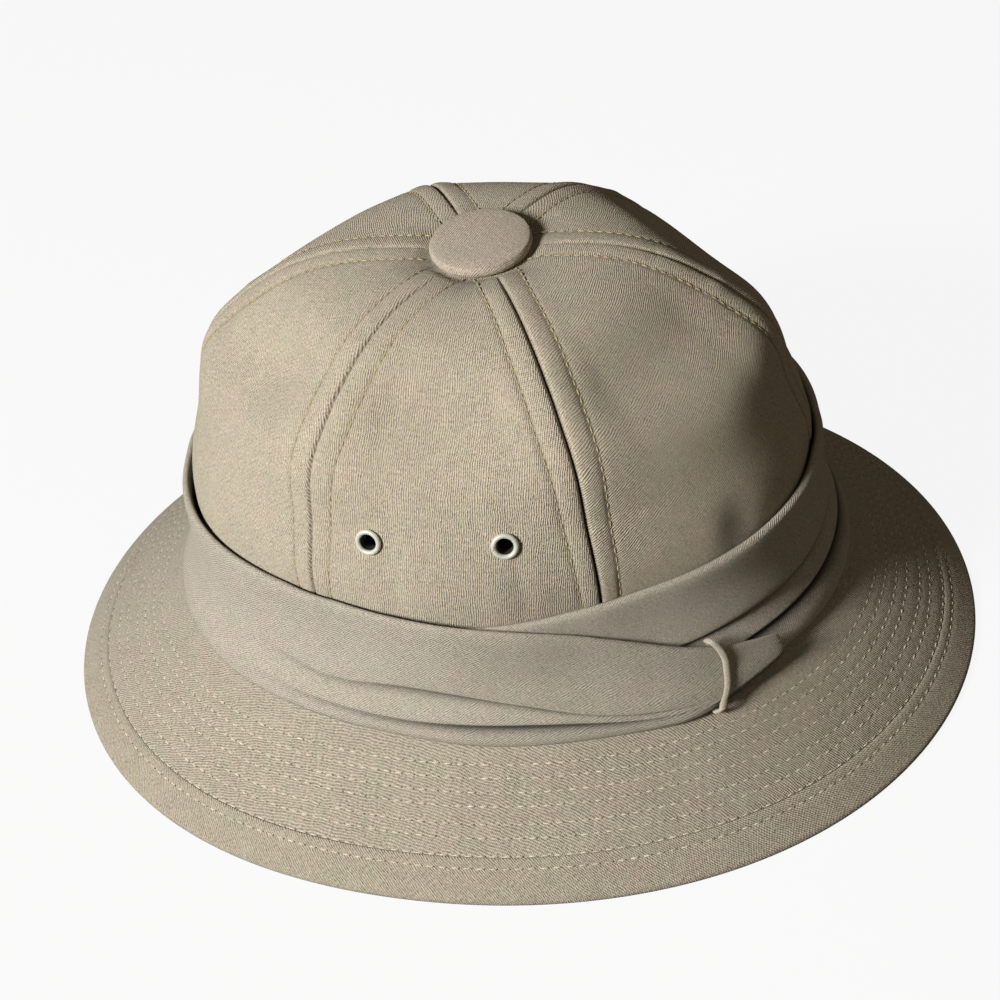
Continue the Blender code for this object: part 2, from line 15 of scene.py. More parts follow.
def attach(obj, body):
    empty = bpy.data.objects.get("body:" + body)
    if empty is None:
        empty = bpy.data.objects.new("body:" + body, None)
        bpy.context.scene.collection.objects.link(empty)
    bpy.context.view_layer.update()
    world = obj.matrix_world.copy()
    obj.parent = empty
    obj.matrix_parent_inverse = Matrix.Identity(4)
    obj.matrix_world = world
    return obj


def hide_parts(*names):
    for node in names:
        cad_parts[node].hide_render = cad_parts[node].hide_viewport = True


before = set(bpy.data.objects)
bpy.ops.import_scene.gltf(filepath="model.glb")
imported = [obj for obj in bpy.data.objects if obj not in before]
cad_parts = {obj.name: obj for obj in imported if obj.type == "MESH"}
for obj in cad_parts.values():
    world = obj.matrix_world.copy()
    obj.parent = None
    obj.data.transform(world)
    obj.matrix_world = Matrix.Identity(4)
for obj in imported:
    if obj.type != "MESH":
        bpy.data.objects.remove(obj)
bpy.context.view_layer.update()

# Crown panels: six pieces of cotton twill, lined with a thin stiffener and sewn edge to edge.
# Each seam lies in a narrow ditch, with the turned edges making a rounded rib on both sides of it
# that ends at a row of topstitching. Two eyelet holes are punched in each side panel.
CROWN_HALF_LENGTH = 0.1045
CROWN_HALF_WIDTH = 0.0889
CROWN_HEIGHT = 0.1181
CROWN_WALL = 0.0025
RIDGE_HEIGHT = 0.0042
PANEL_GAP = 0.00002
APEX_HOLE_RADIUS = 0.0035
APEX_SET_BACK = 0.0045
PANEL_TUCK = 0.0030
PANEL_ROWS = 104
PANEL_COLUMNS = 96
EDGE_DENSITY = 0.8
RIB_HEIGHT = 0.00085
DIMPLE_DEPTH = 0.0010
MIDDLE_SINK = 0.4
SIDE_FOLD_DEPTH = 0.0005
SIDE_FOLD_ANGLES = (-9.7, 16.5)
SLACK_DEPTH = 0.00025
DENT_ANGLE = 60.0
DENT_HEIGHT = 0.050
DENT_SIZE = (4.0, 0.008)
DENT_DEPTH = 0.0012
# Painted shade on the left side of the crown cloth, just above the band
LOW_SHADE_ANGLE = 26.0
LOW_SHADE_HEIGHT = 0.046
LOW_SHADE_SIZE = (24.0, 0.017)
LOW_SHADE_STRENGTH = 0.17
# Panels with a stronger painted shade in the apex dimple beside the button
DIMPLE_SHADE_PANELS = ("crown_panel_left_front", "crown_panel_left")
BRIM_ROOT_SPREAD = 0.0036
BRIM_DROP = 0.0345
BRIM_SLANT_FRONT = 0.0609
BRIM_SLANT_BACK = 0.0568
BRIM_SLANT_SIDE = 0.0491
NOSE_RADIUS = 0.0019
NOSE_HEIGHT = 0.0013
SEAM_ANGLES = (-89.0, -28.0, 31.0, 93.5, 151.0, 207.0)
PANEL_NAMES = ("crown_panel_left_front", "crown_panel_left", "crown_panel_left_back",
               "crown_panel_right_back", "crown_panel_right", "crown_panel_right_front")
# How the weave lies on each panel, degrees from across the panel
PANEL_WEAVES = (-38.0, 4.0, 62.0, -50.0, 8.0, 45.0)
CROWN_COLOUR = (0.475, 0.415, 0.315)
PAINTED_SHADE_DARKNESS = 0.93
SMOOTH_ANGLE = 50.0
BUTTON_RADIUS = 0.0163
BUTTON_EDGE_DROP = 0.0012
BUTTON_EDGE_INSET = 0.0012
BUTTON_TIP = 4.0
SEAT_CLEARANCE = 0.00045
PRESSED_WALL = 0.0010
EYELET_HEIGHT = 0.0665
EYELET_ANGLE = 14.4
EYELET_BORE_RADIUS = 0.0026
EYELET_TUBE_WALL = 0.0005
EYELET_CLEARANCE = 0.0003
HOLE_EDGE_REACH = 0.0015

# Half profile of the crown: height as a share of CROWN_HEIGHT, radius as a share of the half axes
PROFILE = ((0.00, 1.089), (0.10, 1.041), (0.25, 1.002), (0.42, 0.995), (0.58, 0.934),
           (0.72, 0.870), (0.84, 0.710), (0.93, 0.594), (1.00, 0.000))

# How far the seams stand out and the panel middles sink, as a share of RIDGE_HEIGHT, by height
RIDGES = ((0.00, 0.00), (0.30, -0.28), (0.58, 0.06), (0.84, 1.00), (0.96, 0.09), (1.00, 0.00))

# One side of a seam: distance as a share of the stitch line's, relief as a share of RIB_HEIGHT
SEAM_RELIEF = ((0.00, -1.35), (0.03, -1.05), (0.08, 0.05), (0.15, 0.74), (0.30, 1.00),
               (0.48, 0.96), (0.66, 0.76), (0.82, 0.46), (0.92, 0.02), (1.00, -0.38),
               (1.08, -0.05), (1.22, 0.14), (1.50, 0.08), (1.90, 0.0))

# How strongly each seam shows, in the order of SEAM_ANGLES
SEAM_STRENGTHS = (0.8, 0.5, 1.0, 0.9, 0.9, 0.9)

# The stitch line's distance from its seam by height share, and its limit by the panel's width
STITCH_DISTANCES = ((0.30, 0.0059), (0.55, 0.0070), (0.80, 0.0083), (0.95, 0.0078), (1.00, 0.0070))
STITCH_LIMIT = 0.42


def spline_through(knots, values, last_slope):
    """Cubic curve through the knots, unbent at the first one and with a given slope at the last."""
    count = len(knots)
    gaps = np.diff(knots)
    rises = np.diff(values) / gaps
    matrix = np.zeros((count, count))
    right = np.zeros(count)
    matrix[0, 0] = 1.0
    for i in range(1, count - 1):
        matrix[i, i - 1:i + 2] = gaps[i - 1], 2 * (gaps[i - 1] + gaps[i]), gaps[i]
        right[i] = 6 * (rises[i] - rises[i - 1])
    matrix[-1, -2:] = gaps[-1], 2 * gaps[-1]
    right[-1] = 6 * (last_slope - rises[-1])
    bends = np.linalg.solve(matrix, right)

    def value(x):
        i = np.clip(np.searchsorted(knots, x) - 1, 0, count - 2)
        gap = gaps[i]
        a = (knots[i + 1] - x) / gap
        b = (x - knots[i]) / gap
        bend = (a ** 3 - a) * bends[i] + (b ** 3 - b) * bends[i + 1]
        return a * values[i] + b * values[i + 1] + bend * gap * gap / 6

    return value


profile_heights = np.array([row[0] for row in PROFILE]) * CROWN_HEIGHT
profile_radii = np.array([row[1] for row in PROFILE]) * CROWN_HALF_LENGTH
chords = np.hypot(np.diff(profile_heights), np.diff(profile_radii))
distances = np.concatenate([[0.0], np.cumsum(chords)])
PROFILE_LENGTH = distances[-1]
radius_at = spline_through(distances, profile_radii, -1.0)
height_at = spline_through(distances, profile_heights, 0.0)
fine_distances = np.linspace(0.0, PROFILE_LENGTH, 400)
fine_heights = height_at(fine_distances)
fine_radii = radius_at(fine_distances)

FOOT_HALF_LENGTH = PROFILE[0][1] * CROWN_HALF_LENGTH
FOOT_HALF_WIDTH = PROFILE[0][1] * CROWN_HALF_WIDTH
ROOT_HALF_LENGTH = FOOT_HALF_LENGTH
ROOT_HALF_WIDTH = FOOT_HALF_WIDTH + BRIM_ROOT_SPREAD
FRONT_REACH = math.sqrt(BRIM_SLANT_FRONT ** 2 - BRIM_DROP ** 2)
BACK_REACH = math.sqrt(BRIM_SLANT_BACK ** 2 - BRIM_DROP ** 2)
CENTRE_Y = (FRONT_REACH - BACK_REACH) / 2
JOIN_Z = BRIM_DROP + NOSE_HEIGHT
SEAM_EDGES = SEAM_ANGLES + (SEAM_ANGLES[0] + 360.0,)


def table_value(table, where):
    """A two-column table read between its rows."""
    return np.interp(where, *zip(*table))


def ellipse_radius(phi, half_width, half_length):
    """Distance from the centre to the ellipse in the direction phi."""
    return half_width * half_length / np.hypot(half_length * np.cos(phi), half_width * np.sin(phi))


def panel_share(phi):
    """How far phi lies across its crown panel, from 0 at one seam to 1 at the next."""
    degrees = (np.degrees(phi) - SEAM_EDGES[0]) % 360.0 + SEAM_EDGES[0]
    return np.interp(degrees, SEAM_EDGES, range(len(SEAM_EDGES))) % 1.0


def crown_point(phi, distance, lift, share=None):
    """Points on the crown, a distance up its profile and lifted off along the wall's normal."""
    step = PROFILE_LENGTH / 1000
    along = np.maximum(distance, 0.0)
    radius = radius_at(along)
    height = np.where(distance < 0, distance, height_at(along))
    d_radius = np.where(distance < 0, 0.0, radius_at(along + step) - radius_at(along - step))
    d_height = height_at(along + step) - height_at(along - step)
    length = np.hypot(d_radius, d_height)
    out, up = d_height / length, -d_radius / length
    if share is None:
        share = panel_share(phi)
    ridge = RIDGE_HEIGHT * table_value(RIDGES, height / CROWN_HEIGHT)
    wave = np.cos(2 * np.pi * share)
    # The left and the left back panel are drawn flatter between their ridges
    flat = ((np.degrees(phi) - SEAM_ANGLES[1]) % 360.0 < SEAM_ANGLES[3] - SEAM_ANGLES[1])
    wave = np.where(flat, wave * (MIDDLE_SINK + (1 - MIDDLE_SINK) / (1 + np.exp(-7 * wave))), wave)
    offset = ridge * wave + lift
    stretch = ellipse_radius(phi, CROWN_HALF_WIDTH, CROWN_HALF_LENGTH) / CROWN_HALF_LENGTH
    reach = stretch * radius + out * offset
    set_back = APEX_SET_BACK * (1 - radius / FOOT_HALF_LENGTH) ** 2
    return np.stack([reach * np.cos(phi), reach * np.sin(phi) + CENTRE_Y + set_back,
                     JOIN_Z + height + up * offset], axis=-1)


def surface_grid(name, points, uvs, painted_shade=None, inner=None):
    """Object from a grid whose vertices are moved to rows of points, with its UV map in metres.

    painted_shade gives each point a painted shade for the cloth, from 0 to 1, darker in folds, seams
    and other shaded places, and inner gives the place of the wall's inner side behind each point.
    """
    rows, columns = points.shape[:2]
    bm = bmesh.new()
    bmesh.ops.create_grid(bm, x_segments=columns - 1, y_segments=rows - 1, size=0.5)
    layer = bm.loops.layers.uv.new("UVMap")
    depth = bm.verts.layers.float.new("painted_shade")
    behind = bm.verts.layers.float_vector.new("inner_side") if inner is not None else None
    cells = {}
    for vert in bm.verts:
        cells[vert] = (round((vert.co.y + 0.5) * (rows - 1)), round((vert.co.x + 0.5) * (columns - 1)))
    for face in bm.faces:
        for loop in face.loops:
            loop[layer].uv = uvs[cells[loop.vert]]
    for vert, cell in cells.items():
        vert.co = points[cell]
        vert[depth] = 0.0 if painted_shade is None else painted_shade[cell]
        if behind is not None:
            vert[behind] = inner[cell]
    bmesh.ops.remove_doubles(bm, verts=bm.verts, dist=1e-7)
    bmesh.ops.recalc_face_normals(bm, faces=bm.faces)
    return finished(name, bm)


def finished(name, bm, smooth_angle=SMOOTH_ANGLE):
    """Object at the origin from a bmesh, shaded smooth across gentle edges."""
    mesh = bpy.data.meshes.new(name)
    bm.to_mesh(mesh)
    bm.free()
    mesh.shade_smooth()
    mesh.set_sharp_from_angle(angle=math.radians(smooth_angle))
    piece = bpy.data.objects.new(name, mesh)
    bpy.context.collection.objects.link(piece)
    return piece


def node(tree, kind, inputs=None, **settings):
    """Shader node with its settings, and each input given a value or joined to a socket."""
    made = tree.nodes.new(kind)
    for key, value in settings.items():
        setattr(made, key, value)
    for key, value in (inputs or {}).items():
        if isinstance(value, bpy.types.NodeSocket):
            tree.links.new(value, made.inputs[key])
        else:
            made.inputs[key].default_value = value
    return made


def sums(tree, operation, first, second):
    """Result of one Math node."""
    return node(tree, "ShaderNodeMath", {0: first, 1: second}, operation=operation).outputs[0]


def noise(tree, place, scale, detail):
    """Soft noise over a place, about 0.5 on average."""
    return node(tree, "ShaderNodeTexNoise", {"Vector": place, "Scale": scale, "Detail": detail}).outputs[0]


def scaled(tree, place, scale):
    """A place stretched differently along each axis."""
    return node(tree, "ShaderNodeMapping", {"Vector": place, "Scale": scale}).outputs[0]


def new_finish(name):
    """New material with its node tree and its shader."""
    material = bpy.data.materials.new(name)
    material.use_nodes = True
    return material, material.node_tree, material.node_tree.nodes["Principled BSDF"]


def join_to_shader(tree, shader, sockets):
    """Join results to the shader's sockets by name."""
    for name, value in sockets.items():
        tree.links.new(value, shader.inputs[name])


def twill(name, colour, angle, pitch=0.00068, mottle=0.10, contrast=0.26, grain=1.4):
    """Cotton twill: fine diagonal lines, slubs along the yarn, a faint pink and green mottling, and
    painted shade read from a vertex attribute.
    """
    material, tree, shader = new_finish(name)
    place = node(tree, "ShaderNodeUVMap", uv_map="UVMap").outputs[0]
    turned = node(tree, "ShaderNodeMapping", {"Vector": place, "Rotation": (0, 0, math.radians(angle)),
                                              "Scale": (1 / pitch,) * 3}).outputs[0]
    parts = node(tree, "ShaderNodeSeparateXYZ", {0: turned})
    across, along = parts.outputs[0], parts.outputs[1]

    def plus(first, second):
        return sums(tree, "ADD", first, second)

    def times(first, second):
        return sums(tree, "MULTIPLY", first, second)

    def wave(turns):
        return sums(tree, "SINE", times(turns, 2 * math.pi), 0.0)

    lines = wave(plus(across, times(noise(tree, turned, 0.11, 2.0), 2.4)))
    threads = wave(plus(times(along, 1.3), times(across, 0.5)))
    weave = plus(lines, times(threads, 0.55))
    slubs = noise(tree, scaled(tree, turned, (0.8, 0.10, 1.0)), 1.0, 3.0)
    bars = noise(tree, scaled(tree, turned, (0.11, 0.8, 1.0)), 1.0, 2.0)
    yarn = noise(tree, scaled(tree, turned, (1.6, 0.62, 1.0)), 1.15, 1.0)
    body = node(tree, "ShaderNodeTexCoord").outputs["Object"]
    clouds = noise(tree, body, 85.0, 4.0)
    patches = noise(tree, body, 110.0, 3.0)
    pink = tuple(channel * shade for channel, shade in zip(colour, (1.03, 0.985, 0.99))) + (1.0,)
    green = tuple(channel * shade for channel, shade in zip(colour, (0.975, 1.005, 0.965))) + (1.0,)
    swing = node(tree, "ShaderNodeMapRange", {"Value": patches, "From Min": 0.35, "From Max": 0.65})
    tinted = node(tree, "ShaderNodeMix", {0: swing.outputs[0], 6: pink, 7: green}, data_type="RGBA")
    light = times(weave, contrast)
    for unevenness, strength in ((slubs, 0.42), (bars, 0.34), (clouds, mottle * 2), (yarn, grain)):
        light = plus(light, times(sums(tree, "SUBTRACT", unevenness, 0.5), strength))
    # Painted shade: the attribute darkens the cloth where folds, seams and creases would be in shade
    painted_shade_input = node(tree, "ShaderNodeAttribute", attribute_name="painted_shade").outputs["Fac"]
    light = times(plus(light, 1.0), sums(tree, "SUBTRACT", 1.0, times(painted_shade_input, PAINTED_SHADE_DARKNESS)))
    shade = node(tree, "ShaderNodeVectorMath", {0: tinted.outputs[2], "Scale": light}, operation="SCALE")
    relief = plus(plus(weave, times(plus(slubs, bars), 1.6)), times(yarn, 3.0))
    bump = node(tree, "ShaderNodeBump", {"Strength": 0.75, "Distance": 0.00012, "Height": relief})
    rough = node(tree, "ShaderNodeMapRange", {"Value": slubs, "To Min": 0.82, "To Max": 0.96})
    join_to_shader(tree, shader, {"Base Color": shade.outputs[0], "Normal": bump.outputs[0],
                                  "Roughness": rough.outputs[0]})
    shader.inputs["Specular IOR Level"].default_value = 0.25
    shader.inputs["Sheen Weight"].default_value = 0.12
    shader.inputs["Sheen Roughness"].default_value = 0.6
    return material


def row_lengths(points):
    """Length along each row of points, from its first one."""
    steps = np.linalg.norm(np.diff(points, axis=1), axis=2)
    return np.concatenate([np.zeros((len(points), 1)), np.cumsum(steps, axis=1)], axis=1)


def stitch_distance(height):
    """Distance of the topstitching from its seam at a height above the join."""
    return table_value(STITCH_DISTANCES, height / CROWN_HEIGHT)


def spot(phi, height, angle, middle, width, tall):
    """Soft round spot on the crown, 1 at its middle, by its angle in degrees and its height."""
    return np.exp(-((np.degrees(phi) - angle) / width) ** 2 - ((height - middle) / tall) ** 2)


def panel_relief(phi, height, reach, along, share, name):
    """Lift of the cloth over the smooth crown, with its seams, apex dimple, side folds and dent, and the
    cloth's painted shade.
    """
    to_seam = np.minimum(along, along[:, -1:] - along)
    stitch = np.minimum(stitch_distance(height), STITCH_LIMIT * along[:, -1:])
    rise = np.interp(height / CROWN_HEIGHT, (0.24, 0.38), (0.0, 1.0))
    rise = rise * np.interp(reach, (0.013, 0.028, 0.060), (0.0, 0.65, 1.0))
    seam = PANEL_NAMES.index(name)
    strengths = SEAM_STRENGTHS[seam], SEAM_STRENGTHS[(seam + 1) % len(SEAM_STRENGTHS)]
    rise = rise * np.interp(share, (0.4, 0.6), strengths)
    relief = RIB_HEIGHT * table_value(SEAM_RELIEF, to_seam / stitch) * rise
    dimple = np.interp(reach, (0.010, 0.018, 0.029), (0.5, 1.0, 0.0))
    relief -= DIMPLE_DEPTH * dimple * np.sin(np.pi * share) ** 2
    if name == "crown_panel_left":
        span = np.interp(height, (0.030, 0.046, 0.060, 0.085), (0.0, 1.0, 1.0, 0.0))
        for angle in SIDE_FOLD_ANGLES:
            relief -= SIDE_FOLD_DEPTH * span * np.exp(-((np.degrees(phi) - angle) / 2.2) ** 2)
    dent = 0.0 * height
    if name == "crown_panel_left_back":
        dent = spot(phi, height, DENT_ANGLE, DENT_HEIGHT, *DENT_SIZE)
        relief -= DENT_DEPTH * dent
    dimple_shade = 0.45 if name in DIMPLE_SHADE_PANELS else 0.25
    slack = np.sin(5.1 * phi + 60 * height) * np.sin(83 * height - 2.0 * phi + 0.7)
    # Painted shade: darker in the seam ditches, along the stitch lines, in the apex dimple and in the dent
    painted_shade = 0.85 * np.exp(-(to_seam / 0.0005) ** 2)
    painted_shade = painted_shade + 0.45 * np.exp(-((to_seam / stitch - 1) / 0.08) ** 2)
    painted_shade = painted_shade * rise + dimple_shade * dimple * np.sin(np.pi * share) ** 0.5 + 0.35 * dent
    # Painted shade low on the left side, just above the band
    painted_shade = painted_shade + LOW_SHADE_STRENGTH * spot(phi, height, LOW_SHADE_ANGLE, LOW_SHADE_HEIGHT, *LOW_SHADE_SIZE)
    relief = relief + SLACK_DEPTH * slack * rise * np.sin(np.pi * share) ** 2
    return relief, np.clip(painted_shade, 0.0, 1.0)


def panel_base(first, last, shares, spans):
    """Angles and smooth surface points of a panel's rows."""
    radius = np.maximum(radius_at(np.maximum(spans, 0.0)), APEX_HOLE_RADIUS)
    trim = PANEL_GAP / 2 / radius
    phi = math.radians(first) + trim + (math.radians(last - first) - 2 * trim) * shares
    return phi, crown_point(phi, spans, 0.0, shares)


def button_press(points):
    """How far the button pushes down the cloth at each point, under it and close around it."""
    x, y = points[..., 0], points[..., 1] - CENTRE_Y - APEX_SET_BACK
    reach = np.hypot(x, y)
    under = np.minimum(reach, BUTTON_RADIUS)
    edge = BUTTON_RADIUS - BUTTON_EDGE_INSET
    seat = np.interp(-under, -fine_radii, fine_heights) + SEAT_CLEARANCE
    seat = seat - BUTTON_EDGE_DROP * np.interp(under, (edge - 0.0020, edge - 0.0004), (0.0, 1.0))
    seat = seat - math.tan(math.radians(BUTTON_TIP)) * x * under / np.maximum(reach, 1e-6)
    over = np.maximum(points[..., 2] - JOIN_Z - seat + 0.0002, 0.0)
    return over * np.interp(reach, (BUTTON_RADIUS + 0.0006, BUTTON_RADIUS + 0.0030), (1.0, 0.0))


def crown_panel(name, first, last):
    """One panel as a grid on the crown, with its relief, before it gets its wall."""
    steps = np.linspace(0.0, 1.0, PANEL_COLUMNS + 1)
    shares = (steps - EDGE_DENSITY * np.sin(2 * np.pi * steps) / (2 * np.pi))[None, :]
    apex = np.interp(-APEX_HOLE_RADIUS, -fine_radii, fine_distances)
    spans = np.concatenate([[-PANEL_TUCK], np.linspace(0.0, apex, PANEL_ROWS)])[:, None]
    spans, shares = np.broadcast_arrays(spans, shares)
    phi, base = panel_base(first, last, shares, spans)
    along = row_lengths(base)
    height = np.where(spans < 0, spans, height_at(np.maximum(spans, 0.0)))
    reach = np.hypot(base[..., 0], base[..., 1] - CENTRE_Y - APEX_SET_BACK)
    relief, painted_shade = panel_relief(phi, height, reach, along, shares, name)
    points = crown_point(phi, spans, relief, shares)
    inner = crown_point(phi, spans, -CROWN_WALL, shares)
    pressed = button_press(points)
    points[..., 2] -= pressed
    lowest = np.minimum(inner[..., 2], points[..., 2] - PRESSED_WALL)
    inner[..., 2] = np.where(pressed > 0, lowest, inner[..., 2])
    uvs = np.stack([along - along[:, -1:] / 2, spans], axis=-1)
    return surface_grid(name + "_cloth", points, uvs, painted_shade, inner)


def eyelet_place(angle):
    """Matrix whose origin lies on the crown at an eyelet and whose Z points out of the wall."""
    phi = math.radians(angle)
    small = 0.004
    swing = small / CROWN_HALF_WIDTH

    def beside(turn, height):
        return Vector(wall_point(np.array(turn), np.array(height), 0.0))

    across = beside(phi + swing, EYELET_HEIGHT) - beside(phi - swing, EYELET_HEIGHT)
    upward = beside(phi, EYELET_HEIGHT + small) - beside(phi, EYELET_HEIGHT - small)
    out = across.cross(upward).normalized()
    side = across.normalized()
    turn = Matrix((side, out.cross(side), out)).transposed().to_4x4()
    return Matrix.Translation(beside(phi, EYELET_HEIGHT)) @ turn


def wall_point(phi, height, lift):
    """Points beside the crown wall at a height above the join."""
    distance = np.where(height > 0, np.interp(height, fine_heights, fine_distances), height)
    return crown_point(phi, distance, lift)


def punch_holes(piece, places):
    """Open a round hole in a panel's cloth at each eyelet, before the cloth gets its wall."""
    radius = EYELET_BORE_RADIUS + EYELET_TUBE_WALL + EYELET_CLEARANCE
    bm = bmesh.new()
    bm.from_mesh(piece.data)
    behind = bm.verts.layers.float_vector["inner_side"]
    for place in places:
        to_eyelet = place.inverted()

        def reach(point):
            """Distance of a point from the eyelet's axis."""
            near = to_eyelet @ point
            return math.hypot(near.x, near.y) if abs(near.z) < 0.02 else 1.0

        inside = [face for face in bm.faces if reach(face.calc_center_median()) < radius]
        bmesh.ops.delete(bm, geom=inside, context="FACES")
        for vert in bm.verts:
            if vert.is_boundary and reach(vert.co) < radius + HOLE_EDGE_REACH:
                near = to_eyelet @ vert.co
                share = radius / math.hypot(near.x, near.y)
                vert.co = place @ Vector((near.x * share, near.y * share, near.z))
                vert[behind] = place @ Vector((near.x * share, near.y * share, near.z - CROWN_WALL))
    bm.to_mesh(piece.data)
    bm.free()


def give_wall(piece):
    """Give a panel its wall, with an inner side that runs smoothly behind the seams."""
    outer_count = len(piece.data.vertices)
    wall = piece.modifiers.new("wall", "SOLIDIFY")
    wall.thickness = CROWN_WALL
    wall.offset = -1.0
    graph = bpy.context.evaluated_depsgraph_get()
    walled = bpy.data.meshes.new_from_object(piece.evaluated_get(graph))
    piece.modifiers.clear()
    piece.data = walled
    places = walled.attributes["inner_side"].data
    for vert in walled.vertices[outer_count:]:
        vert.co = places[vert.index].vector
    walled.attributes.remove(walled.attributes["inner_side"])
    walled.shade_smooth()
    walled.set_sharp_from_angle(angle=math.radians(SMOOTH_ANGLE))


side_centres = {"crown_panel_left": 0.0, "crown_panel_right": 180.0}
for panel, first, last, weave_angle in zip(PANEL_NAMES, SEAM_EDGES, SEAM_EDGES[1:], PANEL_WEAVES):
    cloth = crown_panel(panel, first, last)
    cloth.data.materials.append(twill(panel + "_twill", CROWN_COLOUR, weave_angle))
    if panel in side_centres:
        middle = side_centres[panel]
        punch_holes(cloth, [eyelet_place(middle - EYELET_ANGLE), eyelet_place(middle + EYELET_ANGLE)])
    give_wall(cloth)
    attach(cloth, "root")
    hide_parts(panel)

# Crown topstitching: golden-tan cotton thread, one row on each side of every seam, about eight
# stitches to the inch. Each stitch is a short raised lens whose ends sink into the cloth.
CROWN_STITCH_PITCH = 0.0030
STITCH_WIDTH = 0.00052
STITCH_RISE = 0.00026
CROWN_STITCH_SINK = 0.00010
CROWN_STITCH_START = 0.26
CROWN_STITCH_END_RADIUS = 0.0175
THREAD_COLOUR = (0.47, 0.365, 0.185)


def thread(name, colour):
    """Twisted cotton thread: fine slanting plies and uneven dye, read from the object's place."""
    material, tree, shader = new_finish(name)
    body = node(tree, "ShaderNodeTexCoord").outputs["Object"]
    plies = node(tree, "ShaderNodeTexWave", {"Vector": body, "Scale": 2200.0, "Distortion": 3.0},
                 bands_direction="DIAGONAL").outputs[1]
    dye = noise(tree, body, 260.0, 2.0)
    light = sums(tree, "ADD", sums(tree, "MULTIPLY", plies, 0.22), sums(tree, "ADD", dye, 0.42))
    shade = node(tree, "ShaderNodeVectorMath", {0: colour, "Scale": light}, operation="SCALE")
    bump = node(tree, "ShaderNodeBump", {"Strength": 0.5, "Distance": 0.00005, "Height": plies})
    join_to_shader(tree, shader, {"Base Color": shade.outputs[0], "Normal": bump.outputs[0]})
    shader.inputs["Roughness"].default_value = 0.7
    shader.inputs["Specular IOR Level"].default_value = 0.3
    return material


def stitch_lens():
    """Mesh of one stitch, a metre long, that is laid down again for each stitch of a row."""
    bm = bmesh.new()
    bmesh.ops.create_uvsphere(bm, u_segments=6, v_segments=4, radius=0.5)
    lens = bpy.data.meshes.new("stitch_lens")
    bm.to_mesh(lens)
    bm.free()
    return lens


def sew(bm, line, normals, pitch, chance, fill=0.74, width=STITCH_WIDTH, rise=STITCH_RISE, shift=0.0):
    """Add stitches along a line of points, each laid on the surface and a little uneven."""
    steps = np.linalg.norm(np.diff(line, axis=0), axis=1)
    lengths = np.concatenate([[0.0], np.cumsum(steps)])
    count = max(1, round(lengths[-1] / pitch))
    stops = (np.arange(count) + 0.5) * lengths[-1] / count + shift
    for stop in stops:
        half = pitch * fill / 2 * chance.uniform(0.92, 1.06)
        ends = [Vector([np.interp(stop + reach, lengths, line[:, k]) for k in range(3)])
                for reach in (-half, half)]
        normal = Vector([np.interp(stop, lengths, normals[:, k]) for k in range(3)]).normalized()
        forward = (ends[1] - ends[0]).normalized()
        side = normal.cross(forward).normalized()
        side = (side + forward * chance.uniform(-0.06, 0.06)).normalized()
        size = Matrix.Diagonal((half * 2, width * chance.uniform(0.8, 1.1),
                                rise * chance.uniform(1.5, 2.4), 1.0))
        turn = Matrix((forward, side, normal)).transposed().to_4x4()
        centre = (ends[0] + ends[1]) / 2 + normal * rise * 0.25
        laid = lens.copy()
        laid.transform(Matrix.Translation(centre) @ turn @ size)
        bm.from_mesh(laid)
        bpy.data.meshes.remove(laid)


lens = stitch_lens()
stitch_chance = random.Random(11)
crown_threads = bmesh.new()
for panel, first, last in zip(PANEL_NAMES, SEAM_EDGES, SEAM_EDGES[1:]):
    lowest = np.interp(CROWN_STITCH_START * CROWN_HEIGHT, fine_heights, fine_distances)
    highest = np.interp(-CROWN_STITCH_END_RADIUS, -fine_radii, fine_distances)
    spans = np.linspace(lowest, highest, 90)[:, None]
    spans, shares = np.broadcast_arrays(spans, np.linspace(0.0, 1.0, 161)[None, :])
    phi, base = panel_base(first, last, shares, spans)
    along = row_lengths(base)
    heights = height_at(spans)
    for from_last in (False, True):
        line = []
        normals = []
        for row in range(len(spans)):
            distance = min(float(stitch_distance(heights[row, 0])), STITCH_LIMIT * along[row, -1])
            where = along[row, -1] - distance if from_last else distance
            share = np.interp(where, along[row], shares[0])
            turn = np.interp(share, shares[0], phi[row])
            low, high = [crown_point(turn, spans[row, 0], lift, share)
                         for lift in (-CROWN_STITCH_SINK, 0.001)]
            line.append(low - np.array((0.0, 0.0, float(button_press(low)))))
            normals.append((high - low) / np.linalg.norm(high - low))
        sew(crown_threads, np.array(line), np.array(normals), CROWN_STITCH_PITCH, stitch_chance)
crown_stitches = finished("crown_topstitching", crown_threads)
crown_stitches.data.materials.append(thread("golden_thread", THREAD_COLOUR))
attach(crown_stitches, "root")

# Eyelets: small pressed metal rings with a rolled flange, riveted through the side panels. The
# off-white paint on the flange is rubbed in spots; the tube inside is painted shade, near black.
EYELET_FLANGE_RADIUS = 0.00425
EYELET_FLANGE_THICKNESS = 0.0008
EYELET_STEPS = 48
PAINT_COLOUR = (0.62, 0.62, 0.52)
BORE_SHADE_COLOUR = (0.055, 0.05, 0.04)


def painted_metal(name, colour):
    """Satin finish on metal, slightly mottled and rubbed."""
    material, tree, shader = new_finish(name)
    wear = noise(tree, node(tree, "ShaderNodeTexCoord").outputs["Object"], 900.0, 4.0)
    rubbed = node(tree, "ShaderNodeMapRange", {"Value": wear, "From Min": 0.56, "From Max": 0.72})
    worn = tuple(channel * 0.62 for channel in colour) + (1.0,)
    shade = node(tree, "ShaderNodeMix", {0: rubbed.outputs[0], 6: (*colour, 1.0), 7: worn},
                 data_type="RGBA")
    rough = node(tree, "ShaderNodeMapRange", {"Value": wear, "To Min": 0.28, "To Max": 0.5})
    bump = node(tree, "ShaderNodeBump", {"Strength": 0.25, "Distance": 0.00005, "Height": wear})
    join_to_shader(tree, shader, {"Base Color": shade.outputs[2], "Roughness": rough.outputs[0],
                                  "Normal": bump.outputs[0]})
    shader.inputs["Metallic"].default_value = 0.1
    return material


